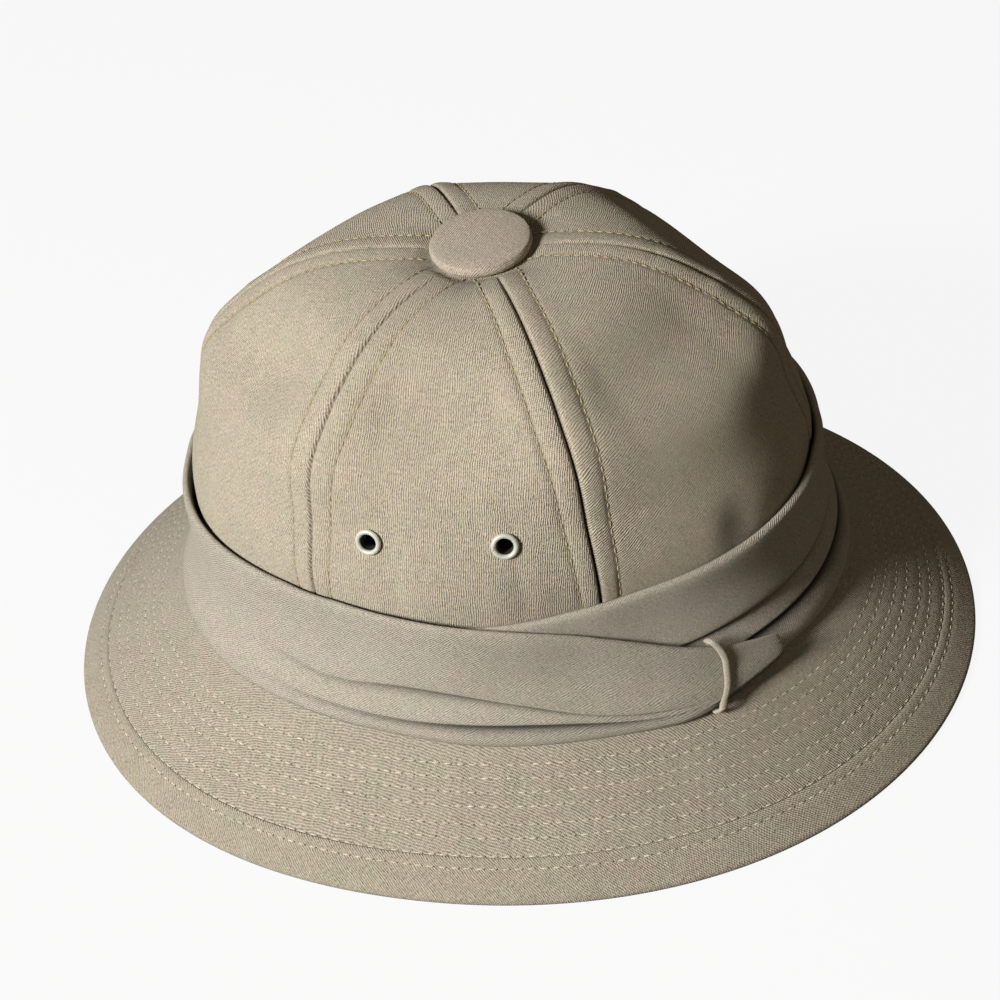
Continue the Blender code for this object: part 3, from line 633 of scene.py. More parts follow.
def eyelet(name, angle):
    """Tube through the wall with a rolled flange outside and a flatter one inside."""
    bore = EYELET_BORE_RADIUS
    tube = bore + EYELET_TUBE_WALL
    flange = EYELET_FLANGE_RADIUS
    thick = EYELET_FLANGE_THICKNESS
    outer = 1.3 * EYELET_CLEARANCE
    inner = -CROWN_WALL - 2 * EYELET_CLEARANCE
    roll = [(flange + (bore - flange) / 2 * (1 - math.cos(turn)), outer + thick * 1.2 * math.sin(turn))
            for turn in np.radians((8, 25, 45, 65, 90, 115, 135, 155, 172))]
    profile = [(tube, outer), (flange - 0.0001, outer)] + roll
    profile += [(bore, inner - thick / 2), (bore + thick, inner - thick), (flange, inner - thick / 2),
                (flange, inner), (tube, inner)]
    bm = bmesh.new()
    verts = [bm.verts.new((radius, 0.0, height)) for radius, height in profile]
    edges = [bm.edges.new(pair) for pair in zip(verts, verts[1:] + verts[:1])]
    bmesh.ops.spin(bm, geom=verts + edges, axis=(0, 0, 1), cent=(0, 0, 0), angle=2 * math.pi,
                   steps=EYELET_STEPS, use_merge=True)
    bmesh.ops.remove_doubles(bm, verts=bm.verts, dist=1e-6)
    bmesh.ops.recalc_face_normals(bm, faces=bm.faces)
    # Faces inside the tube take the second material, the bore's near-black painted shade
    for face in bm.faces:
        centre = face.calc_center_median()
        if math.hypot(centre.x, centre.y) < tube and centre.z < outer - 0.2 * thick:
            face.material_index = 1
    bmesh.ops.transform(bm, matrix=eyelet_place(angle), verts=bm.verts)
    return finished(name + "_ring", bm, 60.0)


paint = painted_metal("eyelet_paint", PAINT_COLOUR)
bore_shade = painted_metal("eyelet_bore_shade_metal", BORE_SHADE_COLOUR)
for side, middle in (("left", 0.0), ("right", 180.0)):
    for number, angle in (("1", middle - EYELET_ANGLE), ("2", middle + EYELET_ANGLE)):
        ring = eyelet(f"eyelet_{side}_{number}", angle)
        ring.data.materials.append(paint)
        ring.data.materials.append(bore_shade)
        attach(ring, "root")
        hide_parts(f"eyelet_{side}_{number}")

# Top button: a domed metal shell covered with a round of the crown cloth pulled in underneath,
# fixed through the panel tips by its post. The cloth's weave runs straight across the dome.
BUTTON_HEIGHT = 0.0048
BUTTON_POST_RADIUS = 0.0022
BUTTON_POST_LENGTH = 0.0050
BUTTON_EDGE_ROLL = 0.0022
BUTTON_STEPS = 96
BUTTON_COLOUR = (0.51, 0.435, 0.345)


def top_button():
    """Turned dome with a rounded edge and shallow pull marks where the cloth is drawn in."""
    reaches = np.linspace(APEX_HOLE_RADIUS, BUTTON_RADIUS - BUTTON_EDGE_INSET, 6)
    seat = [(reach, np.interp(-reach, -fine_radii, fine_heights) - CROWN_HEIGHT + SEAT_CLEARANCE)
            for reach in reaches]
    edge = seat[-1][1] - BUTTON_EDGE_DROP
    roll = [(BUTTON_RADIUS - BUTTON_EDGE_ROLL * (1 - math.cos(turn)),
             edge + BUTTON_EDGE_ROLL * (1 + math.sin(turn)))
            for turn in np.radians((-60, -35, -10, 15, 40))]
    last_reach, last_height = roll[-1]
    rise = edge + BUTTON_HEIGHT - last_height
    dome = [(last_reach * math.cos(turn), last_height + rise * math.sin(turn))
            for turn in np.radians(np.linspace(6, 90, 20))]
    profile = [(0.0, -BUTTON_POST_LENGTH), (BUTTON_POST_RADIUS, -BUTTON_POST_LENGTH),
               (BUTTON_POST_RADIUS, seat[0][1])] + seat + roll + dome
    radii, heights = np.array(profile).T
    radii[-1] = 0.0
    turns = np.linspace(0.0, 2 * np.pi, BUTTON_STEPS + 1)[:, None]
    pull = np.exp(-((radii - BUTTON_RADIUS) / 0.0012) ** 2) * (heights < edge + 2 * BUTTON_EDGE_ROLL)
    wave = 0.00005 * pull * (np.sin(23 * turns) + 0.6 * np.sin(37 * turns + 1.0))
    reach = radii[None, :] + wave
    tip = -math.tan(math.radians(BUTTON_TIP)) * reach * np.cos(turns)
    points = np.stack([reach * np.cos(turns), reach * np.sin(turns) + CENTRE_Y + APEX_SET_BACK,
                       JOIN_Z + CROWN_HEIGHT + heights[None, :] + tip], axis=-1)
    # The weave is laid out flat from the top of the dome
    drawn = np.cumsum(np.hypot(np.diff(radii), np.diff(heights))[::-1])[::-1]
    drawn = np.append(drawn, 0.0)[None, :]
    uvs = np.stack([drawn * np.cos(turns), drawn * np.sin(turns)], axis=-1)
    return surface_grid("top_button_cloth", points, uvs)


button = top_button()
button.data.materials.append(twill("button_twill", BUTTON_COLOUR, 128.0, pitch=0.00066, contrast=0.20,
                                   grain=1.5))
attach(button, "root")
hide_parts("top_button")

# Brim: two layers of twill over a stiffener, quilted together by seven rows of pale stitching that
# follow the rim, with a dark lens of painted shade for a needle hole beside each stitch. Its edge
# runs on as a thinner tongue inside the binding.
BRIM_THICKNESS = 0.0030
BINDING_WIDTH = 0.0139
BINDING_WALL = 0.0009
BINDING_PROUD = 0.0004
CLEARANCE = 0.0003
ROW_DISTANCES = (0.0428, 0.0386, 0.0342, 0.0299, 0.0244, 0.0201, 0.0146)
QUILT_DEPTH = 0.00020
PUCKER_DEPTH = 0.00010
BRIM_STEPS = 480
BRIM_STITCH_PITCH = 0.0040
ROW_SINK = 0.00012
UNDER_ROW_SINK = 0.00008
BRIM_COLOUR = (0.39, 0.343, 0.267)
PALE_THREAD_COLOUR = (0.66, 0.60, 0.46)
HOLE_SHIFT = 0.36
HOLE_LENGTH = 0.17
HOLE_SHADE_COLOUR = (0.10, 0.075, 0.045)


def brim_slant(phi):
    """Width of the brim along its slope at phi, and its horizontal reach."""
    end = np.where(np.sin(phi) < 0, BRIM_SLANT_FRONT, BRIM_SLANT_BACK)
    slant = BRIM_SLANT_SIDE + (end - BRIM_SLANT_SIDE) * np.sin(phi) ** 2
    return slant, np.sqrt(slant ** 2 - BRIM_DROP ** 2)


def brim_point(phi, down, above):
    """Points at a distance down the brim's slope from its root line, above its top face."""
    slant, reach = brim_slant(phi)
    radius = ellipse_radius(phi, ROOT_HALF_WIDTH, ROOT_HALF_LENGTH)
    root_x, root_y = radius * np.cos(phi), radius * np.sin(phi)
    normal_x, normal_y = root_x / ROOT_HALF_WIDTH ** 2, root_y / ROOT_HALF_LENGTH ** 2
    length = np.hypot(normal_x, normal_y)
    out = (reach * down + BRIM_DROP * above) / slant
    up = (reach * above - BRIM_DROP * down) / slant
    return np.stack([root_x + normal_x / length * out, root_y + normal_y / length * out + CENTRE_Y,
                     JOIN_Z + up], axis=-1)


def root_inset(phi):
    """Distance down the slope, below zero, where the brim's hole clears the crown's foot."""
    slant, reach = brim_slant(phi)
    root = ellipse_radius(phi, ROOT_HALF_WIDTH, ROOT_HALF_LENGTH)
    foot = ellipse_radius(phi, FOOT_HALF_WIDTH, FOOT_HALF_LENGTH)
    return (foot + CLEARANCE - root) * slant / reach


def quilting(to_rim, phi):
    """Lift of the quilted cloth: pulled in at each stitch row and slightly puckered beside it."""
    nearest = np.min([np.abs(to_rim - distance) for distance in ROW_DISTANCES], axis=0)
    pucker = PUCKER_DEPTH * np.sin(phi * 178) * np.exp(-(nearest / 0.0012) ** 2)
    return QUILT_DEPTH * (0.6 - np.exp(-(nearest / 0.0009) ** 2)) + pucker


def ring_points(phi, section):
    """Distances down the slope and points all around the brim, from a section's distances and lifts."""
    downs, aboves = [np.concatenate([place[side] + 0 * phi for place in section], axis=1)
                     for side in (0, 1)]
    return downs, brim_point(phi + 0 * downs, downs, aboves)


def brim():
    """Closed ring: quilted top, tongue in the binding, quilted underside and inner edge."""
    phi = np.linspace(0.0, 2 * np.pi, BRIM_STEPS + 1)[:, None]
    slant, reach = brim_slant(phi)
    inset = root_inset(phi)
    rebate = BINDING_WALL + CLEARANCE - BINDING_PROUD
    shoulder = slant - BINDING_WIDTH - CLEARANCE
    tip = slant - NOSE_RADIUS
    rows = []
    for distance in ROW_DISTANCES:
        rows += [slant - distance + shift for shift in (-0.0018, -0.0009, 0.0, 0.0009, 0.0018)]
    hidden = [inset + share * (rows[0] - inset) for share in (0.0, 0.3, 0.6, 0.85)]
    top = [np.minimum(down, shoulder - 0.0003) for down in hidden + rows] + [shoulder - 0.0001]
    section = [(down, quilting(slant - down, phi)) for down in top]
    section += [(shoulder, -rebate), (tip, -rebate), (tip, -BRIM_THICKNESS + rebate),
                (shoulder, -BRIM_THICKNESS + rebate)]
    lean = BRIM_THICKNESS * BRIM_DROP / reach
    for down in reversed(top[1:]):
        section.append((down, -BRIM_THICKNESS - 0.6 * quilting(slant - down, phi)))
    section.append((inset + lean, -BRIM_THICKNESS + 0 * phi))
    section.append(section[0])
    points = ring_points(phi, section)[1]
    return surface_grid("brim_cloth", points, points[..., :2])


def sew_brim_row(bm, holes, from_rim, above, chance, upper=True):
    """One row of stitches at a distance from the rim, on the brim's top or underside, with a painted shade
    mark for each needle hole.
    """
    phi = np.linspace(0.0, 2 * np.pi, 361)
    down = brim_slant(phi)[0] - from_rim
    line = brim_point(phi, down, above)
    off = brim_point(phi, down, above + 0.001) - line
    normals = off / np.linalg.norm(off, axis=1)[:, None] * (1 if upper else -1)
    sew(bm, line, normals, BRIM_STITCH_PITCH, chance, fill=0.56, width=0.00050, rise=0.00024)
    sew(holes, line, normals, BRIM_STITCH_PITCH, chance, fill=HOLE_LENGTH, width=0.00055, rise=0.00012,
        shift=BRIM_STITCH_PITCH * HOLE_SHIFT)


brim_cloth = brim()
brim_cloth.data.materials.append(twill("brim_twill", BRIM_COLOUR, 12.0))
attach(brim_cloth, "root")
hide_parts("brim")

brim_threads = bmesh.new()
brim_under_threads = bmesh.new()
brim_hole_shades = bmesh.new()
for distance in ROW_DISTANCES:
    sew_brim_row(brim_threads, brim_hole_shades, distance, -ROW_SINK, stitch_chance)
    sew_brim_row(brim_under_threads, brim_hole_shades, distance, -BRIM_THICKNESS + UNDER_ROW_SINK,
                 stitch_chance, upper=False)
brim_stitches = finished("brim_stitching_top", brim_threads)
brim_under_stitches = finished("brim_stitching_underside", brim_under_threads)
needle_hole_shades = finished("brim_needle_hole_shades", brim_hole_shades)
pale_thread = thread("pale_thread", PALE_THREAD_COLOUR)
hole_shade = thread("needle_hole_shade", HOLE_SHADE_COLOUR)
for stitches, finish in ((brim_stitches, pale_thread), (brim_under_stitches, pale_thread),
                         (needle_hole_shades, hole_shade)):
    stitches.data.materials.append(finish)
    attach(stitches, "root")

# Binding: a bias strip folded over the brim's edge and sewn through with one row of pale thread.
# Its fold is pressed flat where the hat rests.
TONGUE_END_GAP = 0.0006
FOLD_CORNER = 0.0005
BINDING_STITCH_DISTANCE = 0.0108
BINDING_ROW_SINK = 0.00022
BINDING_COLOUR = (0.40, 0.353, 0.272)


def brim_binding():
    """Closed ring: upper leaf, rounded nose, flat underside and the fold's inside."""
    phi = np.linspace(0.0, 2 * np.pi, BRIM_STEPS + 1)[:, None]
    slant, reach = brim_slant(phi)
    tilt = np.arctan2(BRIM_DROP, reach)
    start = slant - BINDING_WIDTH
    roof = BINDING_PROUD
    floor = -BRIM_THICKNESS - BINDING_PROUD
    middle = -BRIM_THICKNESS / 2
    centre = (JOIN_Z + middle * np.cos(tilt) - NOSE_HEIGHT) / np.sin(tilt)
    flat_start = math.acos(NOSE_HEIGHT / NOSE_RADIUS)
    flat_end = (JOIN_Z + floor * np.cos(tilt)) / np.sin(tilt)
    nose_end = tilt - np.pi / 2 + flat_start
    ditch = slant - BINDING_STITCH_DISTANCE
    edge = start - 0.0002
    section = [(edge, roof - BINDING_WALL), (edge, roof - 0.00055), (edge + 0.0004, roof - 0.00022),
               (edge + 0.0010, roof - 0.00006), (start + 0.0018, roof), (ditch - 0.0007, roof - 0.00003),
               (ditch, roof - 0.00026), (ditch + 0.0008, roof - 0.00002), (ditch + 0.0022, roof + 0.00006),
               (ditch + 0.0045, roof + 0.00004), (ditch + 0.0066, roof)]
    for share in np.linspace(0.0, 1.0, 10):
        turn = np.pi / 2 + share * (nose_end - np.pi / 2)
        section.append((centre + NOSE_RADIUS * np.cos(turn), middle + NOSE_RADIUS * np.sin(turn)))
    section += [(flat_end, floor), (ditch + 0.0008, floor), (ditch, floor + 0.0002),
                (ditch - 0.0007, floor), (start + 0.0007, floor), (start, floor + 0.0004),
                (start, floor + BINDING_WALL)]
    tongue_end = slant - NOSE_RADIUS + TONGUE_END_GAP
    section += [(tongue_end - FOLD_CORNER, floor + BINDING_WALL),
                (tongue_end, floor + BINDING_WALL + FOLD_CORNER), (tongue_end, roof - BINDING_WALL)]
    section.append(section[0])
    downs, points = ring_points(phi, section)
    around = row_lengths(points[:, :1].transpose(1, 0, 2))[0][:, None]
    uvs = np.stack([around + 0 * downs, downs - slant], axis=-1)
    return surface_grid("brim_binding_cloth", points, uvs)


binding = brim_binding()
binding.data.materials.append(twill("binding_twill", BINDING_COLOUR, 45.0))
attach(binding, "root")
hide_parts("brim_binding")

binding_threads = bmesh.new()
binding_hole_shade_marks = bmesh.new()
sew_brim_row(binding_threads, binding_hole_shade_marks, BINDING_STITCH_DISTANCE,
             BINDING_PROUD - BINDING_ROW_SINK, stitch_chance)
binding_stitches = finished("binding_topstitching", binding_threads)
binding_hole_shades = finished("binding_needle_hole_shades", binding_hole_shade_marks)
for stitches, finish in ((binding_stitches, pale_thread), (binding_hole_shades, hole_shade)):
    stitches.data.materials.append(finish)
    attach(stitches, "root")

# Hat band: one long strip of twill folded lengthwise into soft pleats, wound once around the
# crown's foot over its own start, and drawn through the keeper loop to a rounded tail.
BAND_HEIGHT = 0.0445
BAND_THICKNESS = 0.0030
BAND_FOLD_DEPTH = 0.0024
BAND_EASE = 0.0005
BAND_FLARE = 0.0120
BAND_STEPS = 300
DRAG_DEPTH = 0.00016
# The strip's cut, estimated from the cloth in view and what is turned under at its two folds
SEAM_CLEARANCE = 0.0005
BAND_COLOUR = (0.455, 0.408, 0.332)

# The band along its turn: heights are shares of BAND_HEIGHT, lifts and body of BAND_THICKNESS,
# fold of BAND_FOLD_DEPTH, and line_1 and line_2 are the fold lines
#        turn    top   rise  lift_top lift_low body  line_1 line_2 fold
BAND = ((-6.0,  0.88,  0.09,  0.00,   0.00,   0.35,  0.46,  0.26,  0.0),
        (8.0,   0.91,  0.09,  0.00,   0.00,   0.80,  0.45,  0.26,  0.1),
        (20.0,  0.94,  0.08,  0.00,   0.00,   1.00,  0.44,  0.25,  0.6),
        (32.0,  0.98,  0.06,  0.00,   0.00,   1.00,  0.44,  0.25,  1.0),
        (44.0,  1.00,  0.03,  0.05,   0.00,   1.05,  0.43,  0.24,  1.15),
        (56.0,  1.00,  0.00,  0.10,   0.00,   1.10,  0.44,  0.24,  1.2),
        (90.0,  1.00,  0.00,  0.15,   0.00,   1.10,  0.43,  0.23,  1.2),
        (180.0, 1.00,  0.00,  0.10,   0.00,   1.05,  0.42,  0.22,  1.0),
        (240.0, 1.00,  0.00,  0.25,   0.10,   1.00,  0.42,  0.20,  0.5),
        (285.0, 1.00,  0.00,  0.45,   0.30,   1.00,  0.42,  0.18,  0.0),
        (315.0, 1.02,  0.00,  0.10,   0.45,   1.00,  0.40,  0.16,  0.0),
        (335.0, 1.01,  0.00,  0.10,   0.25,   1.00,  0.30,  0.15,  0.3),
        (350.0, 1.00,  0.00,  0.45,   0.45,   0.95,  0.39,  0.15,  0.65),
        (362.0, 0.98,  0.00,  1.05,   0.82,   0.95,  0.37,  0.16,  0.9),
        (374.0, 0.93,  0.00,  1.25,   0.97,   0.95,  0.27,  0.15,  0.95),
        (383.0, 0.84,  0.00,  1.35,   1.05,   0.95,  0.18,  0.12,  0.9),
        (392.0, 0.70,  0.00,  1.50,   1.15,   1.00,  0.10,  0.06,  0.7),
        (400.0, 0.52,  0.02,  1.75,   1.55,   1.10,  0.05,  0.02,  0.2),
        (404.0, 0.43,  0.06,  1.85,   1.80,   1.10,  0.04,  0.01,  0.0),
        (408.0, 0.36,  0.10,  1.85,   1.85,   0.85,  0.06,  0.04,  0.0),
        (412.0, 0.29,  0.11,  1.80,   1.80,   0.75,  0.11,  0.08,  0.0),
        (416.0, 0.23,  0.12,  1.75,   1.75,   0.65,  0.15,  0.10,  0.0),
        (419.2, 0.20,  0.125, 1.75,   1.75,   0.55,  0.14,  0.10,  0.0),
        (420.2, 0.175, 0.15,  1.75,   1.75,   0.40,  0.14,  0.11,  0.0))
BAND_COLUMNS = ("turn", "top", "rise", "lift_top", "lift_low", "body", "line_1", "line_2", "fold")

# Outer side of the band from its top edge down: layer between two fold lines, share of the layer's
# height on a plain strip and on a folded one, relief when folded and when plain
BAND_SIDE = ((0, 0.000, 0.000, 0.40, 0.40), (0, 0.006, 0.006, 0.62, 0.62),
             (0, 0.020, 0.020, 0.80, 0.80), (0, 0.045, 0.045, 0.92, 0.92),
             (0, 0.100, 0.100, 0.97, 0.97), (0, 0.250, 0.250, 0.96, 0.98),
             (0, 0.450, 0.450, 0.95, 0.97), (0, 0.650, 0.650, 0.97, 0.98),
             (0, 0.820, 0.820, 1.00, 0.99), (0, 0.900, 0.930, 1.00, 1.00),
             (0, 0.930, 0.985, 0.95, 1.00), (0, 0.960, 1.020, 0.80, 1.00),
             (0, 0.980, 1.020, 0.52, 1.00), (0, 0.990, 0.985, 0.26, 1.00),
             (1, 0.010, 0.020, 0.06, 1.00), (1, 0.060, 0.090, 0.22, 1.00),
             (1, 0.150, 0.200, 0.42, 1.00), (1, 0.300, 0.350, 0.56, 1.00),
             (1, 0.500, 0.550, 0.66, 1.00), (1, 0.700, 0.750, 0.72, 1.00),
             (1, 0.850, 0.900, 0.73, 1.00), (1, 0.900, 0.985, 0.66, 1.00),
             (1, 0.940, 1.030, 0.50, 1.00), (1, 0.970, 1.020, 0.28, 1.00),
             (1, 0.990, 0.980, 0.12, 1.00), (2, 0.020, 0.030, 0.04, 1.00),
             (2, 0.100, 0.120, 0.22, 1.00), (2, 0.250, 0.280, 0.42, 1.00),
             (2, 0.450, 0.480, 0.56, 1.00), (2, 0.650, 0.680, 0.63, 1.00),
             (2, 0.820, 0.840, 0.63, 0.97), (2, 0.930, 0.940, 0.56, 0.86))


def band_row(turn):
    """The band's table read at one turn, slightly smoothed along its length."""
    turns = [row[0] for row in BAND]
    blend = min(4.0, turn - turns[0], turns[-1] - turn)
    values = {}
    for column, name in enumerate(BAND_COLUMNS):
        track = [row[column] for row in BAND]
        reads = [np.interp(turn + shift, turns, track) for shift in (-blend, 0.0, blend)]
        values[name] = float(reads[0] + 2 * reads[1] + reads[2]) / 4
    return values


def brim_top_height(phi, lift):
    """Height above the join of the brim's top face, a lift away from the crown's foot."""
    root = ellipse_radius(phi, ROOT_HALF_WIDTH, ROOT_HALF_LENGTH)
    foot = ellipse_radius(phi, FOOT_HALF_WIDTH, FOOT_HALF_LENGTH)
    return -(foot + lift - root) * BRIM_DROP / brim_slant(phi)[1]


def band_point(phi, height, lift):
    """Points of the band: beside the crown wall above, and out on the brim around its lower edge."""
    beside = wall_point(phi, height, lift)
    reach = ellipse_radius(phi, FOOT_HALF_WIDTH, FOOT_HALF_LENGTH) + lift
    below = np.stack([reach * np.cos(phi), reach * np.sin(phi) + CENTRE_Y, JOIN_Z + height], axis=-1)
    share = np.clip((height - brim_top_height(phi, lift)) / BAND_FLARE - 0.1, 0.0, 1.0)[..., None]
    return below + (beside - below) * share


def band_sides(turn):
    """Outer and inner side of the band at one turn, as heights and lifts from the crown wall."""
    row = band_row(turn)
    phi = math.radians(turn)
    body = row["body"] * BAND_THICKNESS
    to_seam = min(abs((turn - seam + 180.0) % 360.0 - 180.0) for seam in SEAM_ANGLES)
    over_rib = SEAM_CLEARANCE * math.exp(-(to_seam / 4.5) ** 4)
    lift_top = BAND_EASE + row["lift_top"] * BAND_THICKNESS + over_rib
    lift_low = BAND_EASE + row["lift_low"] * BAND_THICKNESS
    top = row["top"] * BAND_HEIGHT
    slope = math.atan2(BRIM_DROP, float(brim_slant(phi)[1]))
    rise = row["rise"] * BAND_HEIGHT + CLEARANCE / math.cos(slope)
    low = float(brim_top_height(phi, lift_low)) + rise
    lines = (top, row["line_1"] * BAND_HEIGHT, row["line_2"] * BAND_HEIGHT, low)
    lines = (top, min(lines[1], top - 0.3 * (top - low)), lines[2], low)
    lines = (top, lines[1], min(lines[2], lines[1] - 0.3 * (lines[1] - low)), low)
    outer = []
    for layer, plain_share, folded_share, folded, plain in BAND_SIDE:
        share = plain_share + row["fold"] * (folded_share - plain_share)
        height = lines[layer] + share * (lines[layer + 1] - lines[layer])
        base = lift_low + (lift_top - lift_low) * (height - low) / (top - low)
        relief = plain * body - row["fold"] * (plain - folded) * BAND_FOLD_DEPTH
        outer.append((height, base + relief))
    foot_lift = lift_low + 0.75 * body - row["fold"] * 0.3 * BAND_FOLD_DEPTH
    outer.append((float(brim_top_height(phi, foot_lift)) + rise, foot_lift))
    inner = []
    for share in (0.0, 0.06, 0.15, 0.3, 0.45, 0.6, 0.75, 0.88, 0.96, 0.99):
        inner.append((low + share * (top - low), lift_low + (lift_top - lift_low) * share))
    return outer, inner


def painted_fold_shade(turn):
    """Painted shade at each point of the band's section, from 0 to 1: in its folds, along its foot, at the
    top of its inner side and under the tail.
    """
    fold = min(1.0, band_row(turn)["fold"])
    outer = [fold * min(max((plain - folded - 0.40) / 0.38, 0.0), 1.0)
             for *_, folded, plain in BAND_SIDE]
    foot = float(np.interp(turn, (30.0, 60.0, 120.0, 300.0, 402.0, 406.0),
                           (0.5, 1.0, 1.0, 0.5, 0.5, 1.0)))
    if turn > 405.0:
        outer[-1] = 0.7
    return outer + [foot] + [1.0 if turn > 405.0 else 0.0] * 7 + [0.5, 0.8, 0.8] + outer[:1]


def drape(turn, heights):
    """Soft unevenness of the wound cloth: long slanting drag lines, fading out at the tail."""
    along = math.radians(turn)
    calm = np.interp(turn, (-6, 10, 395, 405), (0.0, 1.0, 1.0, 0.0))
    drag = np.sin(2 * np.pi * (heights / 0.017 + 1.9 * along)) * 0.5
    drag += np.sin(2 * np.pi * (heights / 0.029 - 0.8 * along + 0.3))
    return DRAG_DEPTH * calm * drag


def hat_band():
    """Strip skinned through its sections, with both ends closed."""
    turns = np.linspace(BAND[0][0], BAND[-1][0], BAND_STEPS)
    rows = []
    uvs = []
    painted_shades = [painted_fold_shade(turn) for turn in turns]
    for turn in turns:
        outer, inner = band_sides(turn)
        loop = np.array(outer + inner)
        heights, lifts = loop[:, 0], loop[:, 1].copy()
        lifts[:len(outer)] += drape(turn, heights[:len(outer)])
        points = band_point(np.full(len(loop), math.radians(turn)), heights, lifts)
        points = np.concatenate([points, points[:1]])
        rows.append(points)
        steps = np.linalg.norm(np.diff(points, axis=0), axis=1)
        across = np.concatenate([[0.0], np.cumsum(steps)])
        length = math.radians(turn) * (CROWN_HALF_LENGTH + CROWN_HALF_WIDTH) / 2
        uvs.append(np.stack([np.full(len(points), length), across], axis=-1))
    strip = surface_grid("hat_band_cloth", np.array(rows), np.array(uvs), np.array(painted_shades))
    bm = bmesh.new()
    bm.from_mesh(strip.data)
    caps = bmesh.ops.holes_fill(bm, edges=[edge for edge in bm.edges if edge.is_boundary])["faces"]
    bmesh.ops.triangulate(bm, faces=caps)
    bmesh.ops.recalc_face_normals(bm, faces=bm.faces)
    bm.to_mesh(strip.data)
    bm.free()
    strip.data.shade_smooth()
    return strip


band = hat_band()
band.data.materials.append(twill("band_twill", BAND_COLOUR, -52.0, pitch=0.00062, mottle=0.06))
rounding = band.modifiers.new("rounding", "SUBSURF")
rounding.levels = rounding.render_levels = 1
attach(band, "root")
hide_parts("hat_band")

# Keeper loop: a narrow strip of the band's cloth rolled into a round cord and sewn into a squarish
# ring around the band just before the tail. Behind the band it is squeezed flat.
KEEPER_WIDTH = 0.0019
KEEPER_THICKNESS = 0.0014
KEEPER_CORNER_STAND = 0.0012
KEEPER_TURNS = (405.2, 408.5, 407.5)
KEEPER_STEPS = 72
KEEPER_SQUARENESS = 0.52
KEEPER_SIDES = 24
KEEPER_COLOUR = (0.56, 0.495, 0.40)


def band_keeper():
    """Closed loop with a round section, at three angles at its foot, its middle and its top."""
    foot, middle, top = KEEPER_TURNS
    sides = [band_sides(turn) for turn in KEEPER_TURNS]
    slack = 1.5 * CLEARANCE + KEEPER_THICKNESS / 2
    far = max(lift for outer, inner in sides for height, lift in outer) + KEEPER_THICKNESS / 2
    near = min(lift for outer, inner in sides for height, lift in inner) - slack
    depth, centre = (far - near) / 2, (far + near) / 2
    high = sides[2][0][0][0] + slack + KEEPER_CORNER_STAND
    low = sides[0][1][0][0] - slack - KEEPER_CORNER_STAND
    path = []
    for i in range(KEEPER_STEPS):
        turn = 2 * math.pi * (i + 0.5) / KEEPER_STEPS
        across, upward = [math.copysign(abs(value) ** KEEPER_SQUARENESS, value)
                          for value in (math.cos(turn), math.sin(turn))]
        path.append(((high + low) / 2 + (high - low) / 2 * upward, centre + depth * across))
    rings = []
    around = np.linspace(0.0, 2 * np.pi, KEEPER_SIDES + 1)
    for i, (height, lift) in enumerate(path):
        before, after = path[i - 1], path[(i + 1) % KEEPER_STEPS]
        direction = Vector((after[0] - before[0], after[1] - before[1])).normalized()
        share = (height - (high + low) / 2) / ((high - low) / 2)
        place = middle + (top - foot) / 2 * share + ((top + foot) / 2 - middle) * share ** 2
        swing = KEEPER_WIDTH / 2 * np.cos(around) / CROWN_HALF_WIDTH
        # Behind the strip the roll is squeezed flat
        thick = KEEPER_THICKNESS * np.interp(lift, (near, centre), (0.5, 1.0))
        push = thick / 2 * np.sin(around)
        rings.append(band_point(math.radians(place) + swing, height + push * direction.y,
                                lift - push * direction.x))
    points = np.array(rings + rings[:1])
    lengths = row_lengths(points[:, :1].transpose(1, 0, 2))[0][:, None]
    uvs = np.stack([lengths + 0 * around, around[None, :] * KEEPER_WIDTH / 3 + 0 * lengths], axis=-1)
    return surface_grid("band_keeper_cloth", points, uvs)


keeper = band_keeper()
keeper.data.materials.append(twill("keeper_twill", KEEPER_COLOUR, 30.0, pitch=0.00050, mottle=0.06,
                                   contrast=0.06, grain=0.7))
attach(keeper, "root")
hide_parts("band_keeper")

# Studio: a floor that glows pale but lights nothing, a high soft light from the hat's front left and
# a weak warm fill from behind. The surroundings look pale in the picture, but light the hat only dimly.
FLOOR_SIZE = 12.0
FLOOR_COLOUR = (0.05, 0.05, 0.05)
FLOOR_GLOW = 0.905
SHADE_HALF_SIZE = (0.131, 0.157)
CAMERA_PLACE = (0.50932, 0.1529, 0.48147)
CAMERA_AZIMUTH = math.radians(106.732)
CAMERA_ELEVATION = math.radians(38.991)
CAMERA_ROLL = math.radians(9.238)
CAMERA_LENS = 71.3
SENSOR_WIDTH = 36.0
DIM_SURROUNDINGS = (0.055, 0.046, 0.034, 1.0)
PALE_SURROUNDINGS = (0.93, 0.93, 0.93, 1.0)

floor_square = bmesh.new()
bmesh.ops.create_grid(floor_square, x_segments=1, y_segments=1, size=FLOOR_SIZE / 2)
floor = finished("studio_floor", floor_square)
floor_paint, floor_tree, paper = new_finish("floor_paper")
paper.inputs["Base Color"].default_value = (*FLOOR_COLOUR, 1.0)
paper.inputs["Roughness"].default_value = 1.0
paper.inputs["Specular IOR Level"].default_value = 0.0
paper.inputs["Emission Color"].default_value = (1.0, 1.0, 1.0, 1.0)
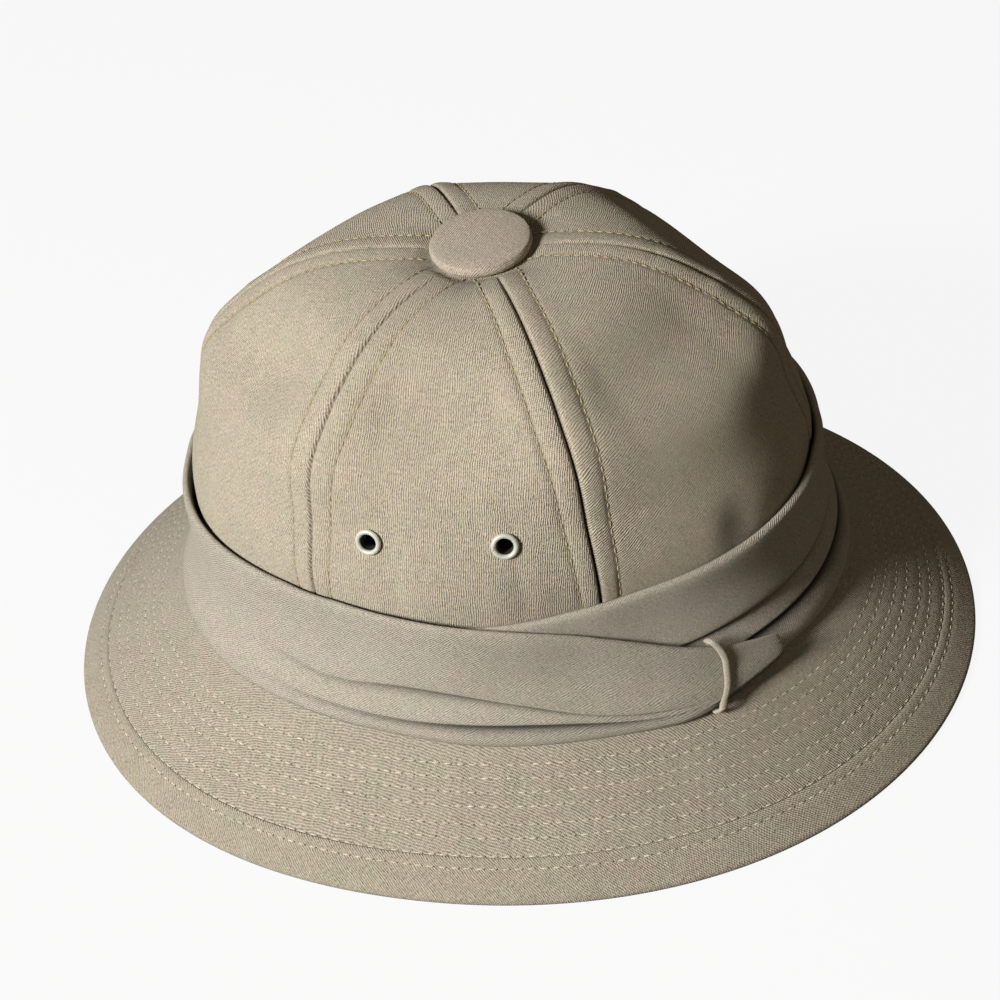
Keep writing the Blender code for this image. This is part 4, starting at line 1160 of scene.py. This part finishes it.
# The paper glows pale all around but not under the hat, where the dark patch is a painted shadow
spread = scaled(floor_tree, node(floor_tree, "ShaderNodeTexCoord").outputs["Object"],
                (1 / SHADE_HALF_SIZE[0], 1 / SHADE_HALF_SIZE[1], 1.0))
from_middle = node(floor_tree, "ShaderNodeVectorMath", {0: spread}, operation="LENGTH").outputs[1]
glow = node(floor_tree, "ShaderNodeMapRange", {
    "Value": from_middle, "From Min": 0.94, "From Max": 1.0, "To Max": FLOOR_GLOW})
join_to_shader(floor_tree, paper, {"Emission Strength": glow.outputs[0]})
floor.data.materials.append(floor_paint)
floor.visible_diffuse = False
floor.visible_glossy = False


def soft_light(name, place, size, power, colour):
    """Square area light that looks at the crown."""
    data = bpy.data.lights.new(name, "AREA")
    data.shape = "SQUARE"
    data.size = size
    data.energy = power
    data.color = colour
    light = bpy.data.objects.new(name, data)
    light.location = place
    aim = Vector((0.0, 0.0, 0.08)) - Vector(place)
    light.rotation_mode = "QUATERNION"
    light.rotation_quaternion = aim.to_track_quat("-Z", "Y")
    bpy.context.collection.objects.link(light)


soft_light("key_light", (1.26, -0.91, 1.05), size=0.4, power=46.5, colour=(1.0, 0.995, 0.985))
soft_light("fill_light", (0.3, 1.5, 1.3), size=1.0, power=2.0, colour=(1.0, 0.88, 0.70))

world = bpy.data.worlds.new("studio_surroundings")
world.use_nodes = True
surroundings = world.node_tree.nodes["Background"]
seen = node(world.node_tree, "ShaderNodeLightPath").outputs["Is Camera Ray"]
tone = node(world.node_tree, "ShaderNodeMix", {0: seen, 6: DIM_SURROUNDINGS, 7: PALE_SURROUNDINGS},
            data_type="RGBA").outputs[2]
world.node_tree.links.new(tone, surroundings.inputs["Color"])
bpy.context.scene.world = world
bpy.context.scene.view_settings.view_transform = "Standard"

camera_data = bpy.data.cameras.new("camera")
camera_data.lens = CAMERA_LENS
camera_data.sensor_width = SENSOR_WIDTH
camera = bpy.data.objects.new("camera", camera_data)
back = Vector((math.sin(CAMERA_AZIMUTH) * math.cos(CAMERA_ELEVATION),
               -math.cos(CAMERA_AZIMUTH) * math.cos(CAMERA_ELEVATION), math.sin(CAMERA_ELEVATION)))
level = Vector((math.cos(CAMERA_AZIMUTH), math.sin(CAMERA_AZIMUTH), 0.0))
upright = back.cross(level)
right = level * math.cos(CAMERA_ROLL) - upright * math.sin(CAMERA_ROLL)
up = level * math.sin(CAMERA_ROLL) + upright * math.cos(CAMERA_ROLL)
camera.matrix_world = (Matrix.Translation(CAMERA_PLACE)
                       @ Matrix((right, up, back)).transposed().to_4x4())
bpy.context.collection.objects.link(camera)
bpy.context.scene.camera = camera
